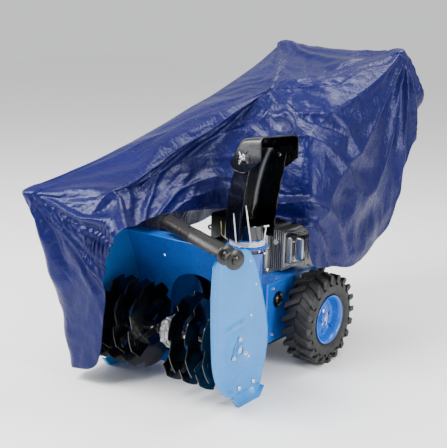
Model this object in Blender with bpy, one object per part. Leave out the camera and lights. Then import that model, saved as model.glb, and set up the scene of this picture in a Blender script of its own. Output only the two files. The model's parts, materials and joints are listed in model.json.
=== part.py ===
"""Walk-behind two-stage snowblower with its storage cover pulled back off the front.

Metres, +Z up. The machine's front faces -Y and the operator's left hand is at +X.
"""

import math

import bmesh
import bpy
from mathutils import Matrix, Vector

for leftover in list(bpy.data.objects):
    bpy.data.objects.remove(leftover, do_unlink=True)

# Driving dimensions, in metres. Y is counted from the wheel axle until place_origin().
WHEEL_R = 0.165
TYRE_WIDTH = 0.108
TRACK_HALF = 0.259
HOUSING_HALF = 0.2715
SHEET = 0.003
AUGER_Y = -0.515
AUGER_Z = 0.192
AUGER_R = 0.150
IMPELLER_Z = 0.222
IMPELLER_R = 0.130
DRUM_R = 0.147
FRAME_HALF = 0.160
FRAME_LOW = 0.085
FRAME_TOP = 0.310
CHUTE_X = 0.110
CHUTE_Y = -0.250
CHUTE_BASE_Z = 0.467
CHUTE_AIM = math.radians(70.0)
CHUTE_HALF = 0.0705
DEFLECTOR_HALF = 0.0745
PIVOT_U = 0.072
PIVOT_Z = 0.779
GRIP_X = 0.250
TUBE_R = 0.0127
LEVER_Y = 0.425
LEVER_Z = 0.962
GAP = 0.0003
ORIGIN_X = -0.0266
ORIGIN_Y = -0.0658
ROUND = 28

AXES = {"x": (1, 2, 0), "y": (0, 2, 1), "z": (0, 1, 2)}


def material(name, colour, rough, metal=0.0):
    made = bpy.data.materials.new(name)
    made.use_nodes = True
    made.diffuse_color = (*colour, 1.0)
    for node in made.node_tree.nodes:
        if node.type == "BSDF_PRINCIPLED":
            node.inputs["Base Color"].default_value = (*colour, 1.0)
            node.inputs["Roughness"].default_value = rough
            node.inputs["Metallic"].default_value = metal
    return made


BLUE = (0.012, 0.13, 0.52)
LIGHT_BLUE = (0.035, 0.33, 0.68)
COVER_BLUE = (0.022, 0.03, 0.22)
BLACK = (0.012, 0.012, 0.013)
CAST = (0.42, 0.43, 0.44)
STEEL = (0.55, 0.56, 0.57)
CHROME = (0.80, 0.80, 0.80)
WHITE = (0.80, 0.80, 0.78)


def solid(name, points, faces, colour, rough=0.5, metal=0.0, smooth=False):
    """One closed mesh object with its own material."""
    mesh = bpy.data.meshes.new(name)
    mesh.from_pydata([tuple(p) for p in points], [], faces)
    tool = bmesh.new()
    tool.from_mesh(mesh)
    bmesh.ops.remove_doubles(tool, verts=tool.verts, dist=1e-6)
    bmesh.ops.recalc_face_normals(tool, faces=tool.faces)
    tool.to_mesh(mesh)
    tool.free()
    for face in mesh.polygons:
        face.use_smooth = smooth
    made = bpy.data.objects.new(name, mesh)
    bpy.context.scene.collection.objects.link(made)
    mesh.materials.append(material(name, colour, rough, metal))
    return made


def helper(made):
    """Marks an object as a tool of a Boolean, so that it isn't a part."""
    made.hide_render = True
    made.display_type = "WIRE"
    return made


def boolean(target, others, operation, solver="EXACT"):
    for other in others:
        step = target.modifiers.new(other.name, "BOOLEAN")
        step.operation = operation
        step.solver = solver
        step.object = helper(other)
    return target


def cut(target, *others, solver="EXACT"):
    return boolean(target, others, "DIFFERENCE", solver)


def weld(target, *others, solver="EXACT"):
    return boolean(target, others, "UNION", solver)


def prism(name, outline, axis, low, high, colour, rough=0.5, metal=0.0):
    """An outline in the two other axes, run from low to high along axis."""
    first, second, along = AXES[axis]
    points = []
    for level in (low, high):
        for a, b in outline:
            point = [0.0, 0.0, 0.0]
            point[first] = a
            point[second] = b
            point[along] = level
            points.append(point)
    count = len(outline)
    faces = [list(range(count)), list(range(count, 2 * count))]
    for i in range(count):
        j = (i + 1) % count
        faces.append([i, j, count + j, count + i])
    return solid(name, points, faces, colour, rough, metal)


def box(name, low, high, colour, rough=0.5, metal=0.0, bevel=0.0):
    outline = [(low[0], low[1]), (high[0], low[1]), (high[0], high[1]), (low[0], high[1])]
    made = prism(name, outline, "z", low[2], high[2], colour, rough, metal)
    if bevel:
        step = made.modifiers.new("edges", "BEVEL")
        step.width = bevel
        step.segments = 2
    return made


def turned(name, profile, at, axis, colour, rough=0.5, metal=0.0, steps=32):
    """A profile of (radius, distance along axis) turned round the axis through at.

    It runs from the axis back to the axis, or else round a closed ring.
    """
    along = Vector(axis).normalized()
    side = along.orthogonal().normalized()
    if abs(along.x) > 0.9:
        side = Vector((0, 0, 1))
    if abs(along.z) > 0.9:
        side = Vector((1, 0, 0))
    other = along.cross(side)
    closed = profile[0][0] > 1e-9
    rings = []
    points = []
    for radius, distance in profile:
        middle = Vector(at) + along * distance
        if radius < 1e-9:
            rings.append([len(points)] * steps)
            points.append(middle)
            continue
        rings.append(list(range(len(points), len(points) + steps)))
        for k in range(steps):
            turn = 2 * math.pi * k / steps
            points.append(middle + (side * math.cos(turn) + other * math.sin(turn)) * radius)
    faces = []
    pairs = list(zip(rings, rings[1:]))
    if closed:
        pairs.append((rings[-1], rings[0]))
    for low, high in pairs:
        for k in range(steps):
            j = (k + 1) % steps
            corners = [low[k], low[j], high[j], high[k]]
            kept = [c for i, c in enumerate(corners) if c not in corners[:i]]
            if len(kept) > 2:
                faces.append(kept)
    return solid(name, points, faces, colour, rough, metal, smooth=True)


def rod(name, at, axis, radius, low, high, colour=STEEL, rough=0.35, metal=1.0, steps=20):
    profile = [(0, low), (radius, low), (radius, high), (0, high)]
    return turned(name, profile, at, axis, colour, rough, metal, steps)


def rounded_path(corners, bend, steps=5):
    """The corners joined by straight runs, each inner corner replaced by a curve."""
    points = [Vector(corners[0])]
    for before, corner, after in zip(corners, corners[1:], corners[2:]):
        corner = Vector(corner)
        start = corner + (Vector(before) - corner).normalized() * bend
        end = corner + (Vector(after) - corner).normalized() * bend
        for k in range(steps + 1):
            t = k / steps
            points.append(start * (1 - t) ** 2 + corner * 2 * t * (1 - t) + end * t * t)
    points.append(Vector(corners[-1]))
    return points


def swept(name, path, section, colour, rough=0.5, metal=0.0, up=(0, 0, 1), smooth=True):
    """A closed section of (sideways, upwards) points carried along a path."""
    path = [Vector(p) for p in path]
    points = []
    for i, here in enumerate(path):
        ahead = path[min(i + 1, len(path) - 1)] - path[max(i - 1, 0)]
        ahead.normalize()
        across = ahead.cross(Vector(up)).normalized()
        above = across.cross(ahead).normalized()
        points += [here + across * a + above * b for a, b in section]
    count = len(section)
    last = (len(path) - 1) * count
    faces = [list(range(count)), list(range(last, last + count))]
    for i in range(len(path) - 1):
        for k in range(count):
            j = (k + 1) % count
            low = i * count
            faces.append([low + k, low + j, low + count + j, low + count + k])
    return solid(name, points, faces, colour, rough, metal, smooth)


def circle(radius, steps=12):
    turns = [2 * math.pi * k / steps for k in range(steps)]
    return [(radius * math.cos(t), radius * math.sin(t)) for t in turns]


def sheet(name, rows, thickness, colour, rough=0.5, metal=0.0, offset=0.0, smooth=True, loop=False):
    """A grid of points thickened into a plate. offset runs from -1 to 1."""
    width = len(rows[0])
    points = [p for row in rows for p in row]
    faces = []
    for i in range(len(rows) - 1):
        for k in range(width if loop else width - 1):
            j = (k + 1) % width
            faces.append([i * width + k, i * width + j, (i + 1) * width + j, (i + 1) * width + k])
    made = solid(name, points, faces, colour, rough, metal, smooth)
    step = made.modifiers.new("thickness", "SOLIDIFY")
    step.thickness = thickness
    step.offset = offset
    step.use_even_offset = False
    return made


def arc(centre, radius, start, end, steps):
    """Points of an arc in a plane, in degrees."""
    out = []
    for k in range(steps + 1):
        turn = math.radians(start + (end - start) * k / steps)
        out.append((centre[0] + radius * math.cos(turn), centre[1] + radius * math.sin(turn)))
    return out


def offset_outline(line, amount):
    """An open line of plane points pushed sideways by amount."""
    out = []
    for i, (a, b) in enumerate(line):
        before = line[max(i - 1, 0)]
        after = line[min(i + 1, len(line) - 1)]
        run = Vector((after[0] - before[0], after[1] - before[1])).normalized()
        out.append((a - run.y * amount, b + run.x * amount))
    return out


def hex_outline(centre, across, turn=0.0):
    radius = across / math.sqrt(3)
    turns = [turn + math.pi * k / 3 for k in range(6)]
    return [(centre[0] + radius * math.cos(t), centre[1] + radius * math.sin(t)) for t in turns]


# Auger housing


def scroll_line():
    """The housing's back and top in the YZ plane, from the scraper up to the front lip."""
    line = [(-0.398, 0.040), (-0.376, 0.075), (-0.358, 0.118), (-0.349, 0.170), (-0.349, 0.215)]
    line += [(-0.363, 0.279), (-0.390, 0.358), (-0.424, 0.441), (-0.446, 0.482)]
    line += [(-0.468, 0.508), (-0.492, 0.519), (-0.520, 0.521), (-0.556, 0.521)]
    return line


def build_housing_shell():
    line = scroll_line()
    outline = line + offset_outline(line, -SHEET)[::-1]
    half = HOUSING_HALF - SHEET - GAP
    made = prism("auger_housing", outline, "x", -half, half, BLUE, 0.3)
    opening = rod("opening_cutter", (0, 0, IMPELLER_Z), (0, 1, 0), 0.139, -0.42, -0.25, steps=36)
    hole = rod("drain_cutter", (-0.122, 0, 0.412), (0, 1, 0), 0.005, -0.50, -0.30, steps=10)
    cut(made, opening, hole)
    for i, x in enumerate((-0.2, 0.0, 0.2)):
        bolt = rod(f"bar_hole_{i}", (x, 0, 0.058), (0, 1, -0.35), 0.0045, -0.46, -0.33, steps=8)
        cut(made, bolt)
    return made


def side_outline():
    line = [(-0.668, 0.503), (-0.674, 0.407), (-0.670, 0.293), (-0.662, 0.194), (-0.649, 0.139)]
    line += [(-0.628, 0.098), (-0.602, 0.068), (-0.576, 0.051), (-0.544, 0.042), (-0.389, 0.042)]
    line += [(-0.372, 0.070), (-0.354, 0.115), (-0.345, 0.169), (-0.345, 0.216), (-0.359, 0.280)]
    line += [(-0.386, 0.359), (-0.420, 0.443), (-0.444, 0.486), (-0.466, 0.512), (-0.492, 0.5235)]
    line += [(-0.556, 0.5235), (-0.640, 0.515)]
    return line


def build_side_plate(name, side):
    face = side * HOUSING_HALF
    low, high = sorted((face - side * SHEET, face))
    made = prism(name, side_outline(), "x", low, high, LIGHT_BLUE, 0.25)
    edge = side_outline()[:8]
    inner = offset_outline(edge, 0.012)
    fold = prism(name + "_fold", edge + inner[::-1], "x", low - 0.006, high + 0.006, LIGHT_BLUE)
    weld(made, fold)
    shaft = rod(name + "_bore", (0, AUGER_Y, AUGER_Z), (1, 0, 0), 0.0128, face - 0.02, face + 0.02)
    cut(made, shaft)
    for i, y in enumerate((-0.514, -0.434)):
        slot = box(f"{name}_slot_{i}", (face - 0.02, y - 0.0047, 0.0475),
                   (face + 0.02, y + 0.0047, 0.0795), BLUE)
        cut(made, slot)
    return made


def build_skid_shoe(name, side):
    """A formed steel runner: flat foot, upturned nose and heel, bolted to the side plate."""
    face = side * (HOUSING_HALF + GAP)
    web = [(-0.545, 0.030), (-0.520, 0.004), (-0.410, 0.004), (-0.385, 0.030), (-0.392, 0.074)]
    web += [(-0.404, 0.084), (-0.526, 0.084), (-0.538, 0.074)]
    made = prism(name, web, "x", *sorted((face, face + side * 0.004)), BLUE, 0.35)
    sole = [(-0.546, 0.034), (-0.520, 0.004), (-0.410, 0.004), (-0.384, 0.034)]
    low = [(-0.549, 0.031), (-0.5215, 0.0), (-0.4085, 0.0), (-0.381, 0.031)]
    foot = prism(name + "_foot", low + sole[::-1], "x", *sorted((face, face + side * 0.018)), BLUE)
    weld(made, foot)
    for i, y in enumerate((-0.514, -0.434)):
        head = prism(f"{name}_bolt_{i}", hex_outline((y, 0.062), 0.013), "x",
                     *sorted((face + side * 0.003, face + side * 0.0105)), STEEL)
        shank = rod(f"{name}_shank_{i}", (0, y, 0.062), (1, 0, 0), 0.0040,
                    *sorted((face - side * 0.014, face + side * 0.006)), steps=10)
        weld(made, head, shank)
    return made


def build_auger_bearing(name, side):
    face = side * (HOUSING_HALF + GAP)
    profile = [(0.0128, 0), (0.046, 0), (0.046, 0.003), (0.024, 0.005), (0.021, 0.012)]
    profile += [(0.0128, 0.012)]
    made = turned(name, profile, (face, AUGER_Y, AUGER_Z), (side, 0, 0), STEEL, 0.4, 1.0, 28)
    for i, turn in enumerate((90, 210, 330)):
        y = AUGER_Y + 0.037 * math.cos(math.radians(turn))
        z = AUGER_Z + 0.037 * math.sin(math.radians(turn))
        head = prism(f"{name}_bolt_{i}", hex_outline((y, z), 0.011), "x",
                     *sorted((face + side * 0.002, face + side * 0.009)), STEEL)
        weld(made, head)
    return made


def build_scraper_bar():
    """The wear bar along the housing's rear lower edge."""
    line = [(-0.3915, 0.0125), (-0.3915, 0.0400), (-0.3705, 0.0720)]
    inner = offset_outline(line, -0.0045)
    half = HOUSING_HALF - 0.004
    made = prism("scraper_bar", line + inner[::-1], "x", -half, half, BLUE, 0.4)
    return made


def build_drum():
    """Impeller drum behind the housing, with the round neck that feeds the chute."""
    front = -0.4100
    rear = -0.195
    body = rod("impeller_drum", (0, 0, IMPELLER_Z), (0, 1, 0), DRUM_R, front, rear, BLUE, 0.35, 0.0, 40)
    neck = rod("neck_outer", (CHUTE_X, CHUTE_Y, 0), (0, 0, 1), 0.0560, 0.24, CHUTE_BASE_Z, steps=28)
    weld(body, neck, solver="MANIFOLD")
    hollow = rod("drum_inner", (0, 0, IMPELLER_Z), (0, 1, 0), DRUM_R - SHEET, front - 0.03,
                 rear - SHEET, steps=40)
    bore = rod("neck_inner", (CHUTE_X, CHUTE_Y, 0), (0, 0, 1), 0.0530, 0.23, 0.5, steps=28)
    shaft = rod("drum_shaft_hole", (0, 0, IMPELLER_Z), (0, 1, 0), 0.0125, rear - 0.02, rear + 0.02)
    cut(body, hollow, bore, shaft, solver="MANIFOLD")
    # The housing's back slopes over the drum above the opening, so the drum is trimmed to it.
    line = offset_outline(scroll_line(), -SHEET - GAP)
    keep = line + [(-0.70, 0.521), (-0.70, -0.1), (-0.398, -0.1)]
    trim = prism("drum_trim", keep, "x", -0.3, 0.3, BLUE)
    cut(body, trim, solver="MANIFOLD")
    return body


# Auger, gearbox and impeller


def build_gearbox():
    profile = [(0, -0.034), (0.022, -0.034), (0.026, -0.024), (0.046, -0.019), (0.048, -0.012)]
    profile += [(0.048, 0.012), (0.046, 0.019), (0.026, 0.024), (0.022, 0.034), (0, 0.034)]
    made = turned("auger_gearbox", profile, (0, AUGER_Y, AUGER_Z), (1, 0, 0), CAST, 0.45, 0.9, 28)
    worm = [(0, -0.560), (0.016, -0.560), (0.020, -0.552), (0.020, -0.470), (0.016, -0.435)]
    worm += [(0.016, -0.418), (0, -0.418)]
    neck = turned("gearbox_neck", worm, (0, 0, IMPELLER_Z), (0, 1, 0), CAST, steps=20)
    flange = box("gearbox_flange", (-0.006, AUGER_Y - 0.056, AUGER_Z - 0.052),
                 (0.006, AUGER_Y + 0.056, AUGER_Z + 0.056), CAST)
    weld(made, neck, flange)
    bore = rod("gearbox_bore", (0, AUGER_Y, AUGER_Z), (1, 0, 0), 0.01285, -0.06, 0.06)
    hole = rod("gearbox_worm_bore", (0, 0, IMPELLER_Z), (0, 1, 0), 0.00985, -0.50, -0.40)
    cut(made, bore, hole)
    return made


def ribbon(name, start_x, end_x, hand, phase):
    """A serrated helical flight: a flat ribbon between two radii."""
    steps = 44
    turns = 1.5
    inner = 0.075
    points = []
    for i in range(steps + 1):
        share = i / steps
        turn = phase + hand * 2 * math.pi * turns * share
        x = start_x + (end_x - start_x) * share
        outer = AUGER_R - (0.013, 0.004, 0.0, 0.0)[i % 4]
        for dx, radius in ((-0.0015, inner), (-0.0015, outer), (0.0015, outer), (0.0015, inner)):
            y = AUGER_Y + radius * math.cos(turn)
            z = AUGER_Z + radius * math.sin(turn)
            points.append((x + dx, y, z))
    faces = [[0, 1, 2, 3], [4 * steps, 4 * steps + 1, 4 * steps + 2, 4 * steps + 3]]
    for i in range(steps):
        for k in range(4):
            j = (k + 1) % 4
            low = 4 * i
            faces.append([low + k, low + j, low + 4 + j, low + 4 + k])
    return solid(name, points, faces, BLACK, 0.25)


def build_auger(name, side, phase):
    """One auger half: hub tube, arms and two flights wound so that snow moves to the middle."""
    start = side * 0.050
    end = side * 0.252
    profile = [(0.0130, 0), (0.0170, 0), (0.0170, 0.217), (0.0130, 0.217)]
    made = turned(name, profile, (side * 0.042, AUGER_Y, AUGER_Z), (side, 0, 0), BLACK, 0.3, 0.0, 20)
    for f in range(2):
        flight = ribbon(f"{name}_flight_{f}", start, end, side, phase + math.pi * f)
        weld(made, flight)
    for i, share in enumerate((0.04, 0.5, 0.96)):
        turn = phase + side * 2 * math.pi * 1.5 * share
        x = start + (end - start) * share
        for k in range(2):
            way = turn + math.pi * k
            aim = Vector((0, math.cos(way), math.sin(way)))
            middle = Vector((x, AUGER_Y, AUGER_Z))
            arm = swept(f"{name}_arm_{i}_{k}", [middle + aim * 0.0150, middle + aim * 0.126],
                        [(-0.0023, -0.011), (0.0023, -0.011), (0.0023, 0.011), (-0.0023, 0.011)],
                        BLACK, up=(0, -aim.z, aim.y), smooth=False)
            weld(made, arm)
    return made


def build_auger_shaft():
    made = rod("auger_shaft", (0, AUGER_Y, AUGER_Z), (1, 0, 0), 0.0125, -0.2805, 0.2805)
    return made


def build_impeller():
    hub = turned("impeller", [(0.0098, -0.318), (0.022, -0.318), (0.022, -0.235), (0.0098, -0.235)],
                 (0, 0, IMPELLER_Z), (0, 1, 0), BLACK, 0.35, 0.0, 20)
    centre = Vector((0, 0, IMPELLER_Z))
    for k in range(4):
        turn = math.pi / 2 * k + 0.4
        aim = Vector((math.cos(turn), 0, math.sin(turn)))
        side = Vector((-math.sin(turn), 0, math.cos(turn)))
        hook = Vector(side) * 0.018
        path = [centre + aim * 0.018, centre + aim * 0.098, centre + aim * 0.126 + hook]
        rows = []
        for y in (-0.316, -0.242):
            rows.append([p + Vector((0, y, 0)) for p in path])
        blade = sheet(f"impeller_blade_{k}", rows, 0.004, BLACK, smooth=False)
        weld(hub, blade, solver="MANIFOLD")
    back = turned("impeller_back", [(0, -0.244), (0.085, -0.244), (0.085, -0.240), (0, -0.240)],
                  centre, (0, 1, 0), BLACK, steps=24)
    bore = rod("impeller_bore", centre, (0, 1, 0), 0.0098, -0.35, -0.20)
    weld(hub, back, solver="MANIFOLD")
    cut(hub, bore, solver="MANIFOLD")
    return hub


def build_impeller_shaft():
    at = (0, 0, IMPELLER_Z)
    made = rod("impeller_shaft", at, (0, 1, 0), 0.0095, -0.485, -0.128, STEEL, 0.35, 1.0, 16)
    pulley = [(0, -0.176), (0.070, -0.176), (0.064, -0.170), (0.070, -0.164), (0, -0.164)]
    weld(made, turned("impeller_pulley", pulley, at, (0, 1, 0), STEEL, steps=28))
    return made


# Tractor frame and wheels


def build_frame():
    """Folded sheet box that carries the axle, the drive and the engine."""
    low = (-FRAME_HALF, -0.1895, FRAME_LOW)
    high = (FRAME_HALF, 0.200, FRAME_TOP)
    made = box("frame_box", low, high, BLUE, 0.35, bevel=0.006)
    hollow = box("frame_hollow", (low[0] + SHEET, low[1] + SHEET, low[2] - 0.02),
                 (high[0] - SHEET, high[1] - SHEET, high[2] - SHEET), BLUE)
    cut(made, hollow)
    axle = rod("frame_axle_hole", (0, 0, WHEEL_R), (1, 0, 0), 0.0130, -0.2, 0.2, steps=16)
    cross = rod("frame_shaft_hole", (0, -0.120, 0.240), (1, 0, 0), 0.0085, -0.2, 0.2, steps=12)
    impeller = box("frame_belt_mouth", (-0.085, -0.22, 0.150), (0.085, -0.17, 0.315), BLUE)
    cut(made, axle, cross, impeller)
    return made


def build_bottom_plate():
    return box("frame_bottom_plate", (-FRAME_HALF + 0.001, -0.1885, FRAME_LOW - 0.0033),
               (FRAME_HALF - 0.001, 0.199, FRAME_LOW - GAP), BLACK, 0.45)


def build_drive_shaft():
    """Cross shaft with a flange bearing and a nut at each side of the frame."""
    at = (0, -0.120, 0.240)
    made = rod("drive_shaft", at, (1, 0, 0), 0.0080, -0.176, 0.176, BLACK, 0.4, 0.3, 14)
    for side in (-1, 1):
        start = side * (FRAME_HALF + GAP)
        flange = turned(f"drive_flange_{side}", [(0, 0), (0.030, 0), (0.030, 0.0025),
                                                 (0.017, 0.005), (0.015, 0.009), (0, 0.009)],
                        (start, at[1], at[2]), (side, 0, 0), BLACK, steps=24)
        nut = prism(f"drive_nut_{side}", hex_outline((at[1], at[2]), 0.017), "x",
                    *sorted((start + side * 0.007, start + side * 0.015)), STEEL)
        weld(made, flange, nut)
    return made


def build_axle():
    made = rod("axle", (0, 0, WHEEL_R), (1, 0, 0), 0.0095, -0.2905, 0.2905, STEEL, 0.4, 1.0, 16)
    for side in (-1, 1):
        collar = turned(f"axle_collar_{side}", [(0, 0), (0.017, 0), (0.017, 0.008), (0, 0.008)],
                        (side * 0.1630, 0, WHEEL_R), (side, 0, 0), STEEL, steps=20)
        hole = rod(f"axle_pin_hole_{side}", (side * (TRACK_HALF + 0.018), 0, WHEEL_R), (0, 0, 1),
                   0.0038, -0.02, 0.02, steps=10)
        weld(made, collar, solver="MANIFOLD")
        cut(made, hole, solver="MANIFOLD")
    return made


def build_rim(name, side):
    """Dished steel rim with a long hub, set on the axle."""
    profile = [(0.0098, -0.062), (0.017, -0.062), (0.017, -0.012), (0.030, -0.010), (0.060, 0.004)]
    profile += [(0.074, 0.003), (0.080, -0.046), (0.089, -0.050), (0.089, -0.044), (0.083, -0.030)]
    profile += [(0.083, 0.030), (0.089, 0.044), (0.089, 0.050), (0.080, 0.046), (0.070, 0.010)]
    profile += [(0.056, 0.010), (0.030, -0.004), (0.024, 0.0), (0.020, 0.028), (0.0098, 0.028)]
    made = turned(name, profile, (side * TRACK_HALF, 0, WHEEL_R), (side, 0, 0), BLUE, 0.3, 0.0, ROUND)
    pin = rod(name + "_pin_hole", (side * (TRACK_HALF + 0.018), 0, WHEEL_R), (0, 0, 1), 0.0038,
              -0.026, 0.026, steps=10)
    cut(made, pin)
    return made


def build_tyre(name, side):
    half = TYRE_WIDTH / 2
    profile = [(0.0833, -0.028), (0.0895, -0.0435), (0.096, -0.050), (0.118, -half)]
    profile += [(0.142, -half), (0.160, -0.046), (0.165, -0.022), (0.165, 0.022), (0.160, 0.046)]
    profile += [(0.142, half), (0.118, half), (0.096, 0.050), (0.0895, 0.0435), (0.0833, 0.028)]
    at = (side * TRACK_HALF, 0, WHEEL_R)
    made = turned(name, profile, at, (side, 0, 0), BLACK, 0.75, 0.0, ROUND)
    groove = [(-0.004, 0.158), (0.004, 0.158), (0.004, 0.170), (-0.004, 0.170)]
    outer = [(radius, across) for across, radius in groove]
    return cut(made, turned(name + "_groove", outer, at, (side, 0, 0), BLACK, steps=ROUND))


def build_hub_pin(name, side):
    """Click pin through the hub, with its ring end and wire loop."""
    at = (side * (TRACK_HALF + 0.018), 0, WHEEL_R)
    made = rod(name, at, (0, 0, 1), 0.0034, -0.028, 0.030, CHROME, 0.15, 1.0, 10)
    head = turned(name + "_head", [(0, 0.0255), (0.0065, 0.0255), (0.0065, 0.033), (0, 0.033)], at,
                  (0, 0, 1), CHROME, steps=12)
    loop = [(at[0], 0, WHEEL_R + 0.031), (at[0] + side * 0.017, 0, WHEEL_R + 0.031)]
    loop += [(at[0] + side * 0.017, 0, WHEEL_R - 0.027), (at[0], 0, WHEEL_R - 0.027)]
    wire = swept(name + "_wire", rounded_path(loop, 0.008, 3), circle(0.0016, 7), CHROME,
                 up=(0, 1, 0))
    weld(made, head, wire)
    return made


# Engine


def build_crankcase():
    low = (-0.105, -0.075, FRAME_TOP + GAP)
    made = box("engine_crankcase", low, (0.075, 0.114, 0.470), CAST, 0.5, 0.8, bevel=0.010)
    foot = box("engine_foot", (-0.118, -0.085, low[2]), (0.088, 0.1145, low[2] + 0.010), CAST)
    boss = rod("engine_boss", (-0.01, 0, 0.385), (0, 1, 0), 0.036, -0.094, -0.070, steps=24)
    shaft = rod("engine_shaft", (-0.01, 0, 0.385), (0, 1, 0), 0.0095, -0.115, -0.090, steps=14)
    filler = rod("engine_filler", (-0.085, -0.050, 0), (0, 0, 1), 0.013, 0.455, 0.492, steps=16)
    weld(made, foot, boss, shaft, filler)
    return made


def build_cylinder():
    """Finned barrel and head lying towards the muffler, with the rocker cover at its end."""
    made = box("engine_cylinder", (0.0753, -0.035, 0.335), (0.128, 0.075, 0.455), CAST, 0.5, 0.8)
    for i in range(6):
        x = 0.080 + 0.0085 * i
        fin = box(f"engine_fin_{i}", (x, -0.050, 0.322), (x + 0.003, 0.090, 0.468), CAST)
        weld(made, fin)
    cover = box("rocker_cover", (0.127, -0.030, 0.345), (0.152, 0.070, 0.445), CAST, bevel=0.006)
    plug = rod("spark_plug", (0.1, -0.047, 0.425), (0.45, -1, 0.25), 0.009, -0.010, 0.028, steps=12)
    weld(made, cover, plug)
    return made


def build_recoil_cover():
    """Blower housing at the back of the engine, with the starter's dome."""
    profile = [(0, 0.1153), (0.098, 0.1153), (0.103, 0.122), (0.103, 0.165), (0.092, 0.176)]
    profile += [(0.070, 0.179), (0.066, 0.197), (0.040, 0.205), (0, 0.205)]
    at = (-0.015, 0, 0.418)
    made = turned("recoil_cover", profile, at, (0, 1, 0), BLACK, 0.35, 0.0, 36)
    duct = box("recoil_duct", (0.02, 0.1153, 0.345), (0.140, 0.172, 0.480), BLACK, bevel=0.008)
    weld(made, duct)
    return made


def build_recoil_handle():
    grip = [(-0.055, 0.2190, 0.487), (0.005, 0.2190, 0.487)]
    made = swept("recoil_handle", grip, circle(0.0085, 12), BLACK, 0.5)
    stem = rod("recoil_stem", (-0.025, 0.2190, 0.487), (0, 0.89, 0.45), 0.005, -0.018, 0.002, steps=10)
    weld(made, stem)
    return made


def build_fuel_tank():
    made = box("fuel_tank", (-0.165, -0.045, 0.5240), (-0.022, 0.165, 0.6120), BLACK, 0.4, bevel=0.016)
    neck = rod("fuel_neck", (-0.105, 0.030, 0), (0, 0, 1), 0.021, 0.600, 0.6210, steps=24)
    hollow = rod("fuel_bore", (-0.105, 0.030, 0), (0, 0, 1), 0.016, 0.590, 0.630, steps=22)
    post = box("fuel_post", (-0.095, 0.01, 0.4703), (-0.055, 0.09, 0.53), BLACK)
    weld(made, neck, post)
    cut(made, hollow)
    return made


def build_fuel_cap():
    at = (-0.105, 0.030, 0.6213)
    profile = [(0, 0), (0.026, 0), (0.027, 0.014), (0.024, 0.020), (0, 0.020)]
    made = turned("fuel_cap", profile, at, (0, 0, 1), BLACK, 0.5, 0.0, 24)
    wing = box("fuel_cap_wing", (at[0] - 0.020, at[1] - 0.004, at[2] + 0.018),
               (at[0] + 0.020, at[1] + 0.004, at[2] + 0.026), BLACK)
    weld(made, wing)
    return made


def build_carburettor_cover():
    made = box("carburettor_cover", (-0.205, -0.045, 0.355), (-0.1185, 0.095, 0.485), BLACK, 0.4,
               bevel=0.010)
    bore = rod("primer_bore", (-0.2053, 0.060, 0.420), (1, 0, 0), 0.0125, -0.01, 0.015, steps=20)
    slot = rod("choke_bore", (-0.2053, 0.010, 0.420), (1, 0, 0), 0.0050, -0.01, 0.015, steps=14)
    key = box("key_bore", (-0.22, -0.0240, 0.4120), (-0.188, -0.0160, 0.4280), BLACK)
    link = box("carburettor_link", (-0.119, 0.0, 0.38), (-0.1053, 0.04, 0.42), BLACK)
    weld(made, link)
    cut(made, bore, slot, key)
    return made


def build_choke_knob():
    at = (-0.2056, 0.010, 0.420)
    profile = [(0, 0), (0.014, 0), (0.013, 0.012), (0, 0.012)]
    made = turned("choke_knob", profile, at, (-1, 0, 0), BLACK, 0.4, 0.0, 20)
    fin = box("choke_fin", (at[0] - 0.020, at[1] - 0.003, at[2] - 0.014),
              (at[0] - 0.010, at[1] + 0.003, at[2] + 0.014), BLACK)
    stem = rod("choke_stem", at, (-1, 0, 0), 0.0046, -0.012, 0.001, steps=10)
    weld(made, fin, stem)
    return made


def build_primer_bulb():
    profile = [(0, -0.011), (0.0121, -0.011), (0.0121, 0.001), (0.0105, 0.006), (0.006, 0.0090)]
    profile += [(0, 0.010)]
    return turned("primer_bulb", profile, (-0.2053, 0.060, 0.420), (-1, 0, 0), BLACK, 0.6, 0.0, 20)


def build_ignition_key():
    made = box("ignition_key", (-0.212, -0.0235, 0.4125), (-0.191, -0.0165, 0.4275), BLACK, 0.4)
    bow = turned("key_bow", [(0.005, -0.003), (0.011, -0.003), (0.011, 0.003), (0.005, 0.003)],
                 (-0.2210, -0.020, 0.420), (0, 1, 0), BLACK, steps=18)
    weld(made, bow)
    return made


def build_muffler():
    made = box("muffler", (0.1600, -0.030, 0.365), (0.2050, 0.085, 0.455), STEEL, 0.45, 1.0,
               bevel=0.012)
    pipe = box("muffler_pipe", (0.1523, 0.005, 0.385), (0.162, 0.035, 0.420), STEEL)
    weld(made, pipe)
    return made


def build_muffler_guard():
    """Folded heat shield over the muffler, pierced with rows of slots."""
    line = [(0.1560, 0.4690), (0.2100, 0.4690), (0.2180, 0.4600), (0.2180, 0.3600)]
    outline = line + offset_outline(line, -0.0015)[::-1]
    made = prism("muffler_guard", outline, "y", -0.045, 0.098, STEEL, 0.3, 1.0)
    for i in range(5):
        y = -0.030 + 0.0265 * i
        slot = box(f"guard_slot_{i}", (0.212, y, 0.375), (0.224, y + 0.008, 0.450), STEEL)
        top = box(f"guard_vent_{i}", (0.166, y, 0.464), (0.204, y + 0.008, 0.474), STEEL)
        cut(made, slot, top)
    tab = box("guard_tab", (0.1523, -0.045, 0.4585), (0.158, -0.035, 0.4690), STEEL)
    weld(made, tab)
    return made


def build_belt_cover():
    """Moulded cover over the belts between the drum and the engine."""
    side = [(-0.1890, 0.3103), (-0.1195, 0.3103), (-0.1195, 0.415), (-0.132, 0.432)]
    side += [(-0.176, 0.432), (-0.1890, 0.415)]
    made = prism("belt_cover", side, "x", -0.085, 0.045, BLACK, 0.4)
    hollow = [(-0.1860, 0.30), (-0.1225, 0.30), (-0.1225, 0.414), (-0.133, 0.429), (-0.175, 0.429)]
    hollow += [(-0.1860, 0.414)]
    cut(made, prism("belt_hollow", hollow, "x", -0.082, 0.042, BLACK))
    return made


# Handlebars and controls


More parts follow.
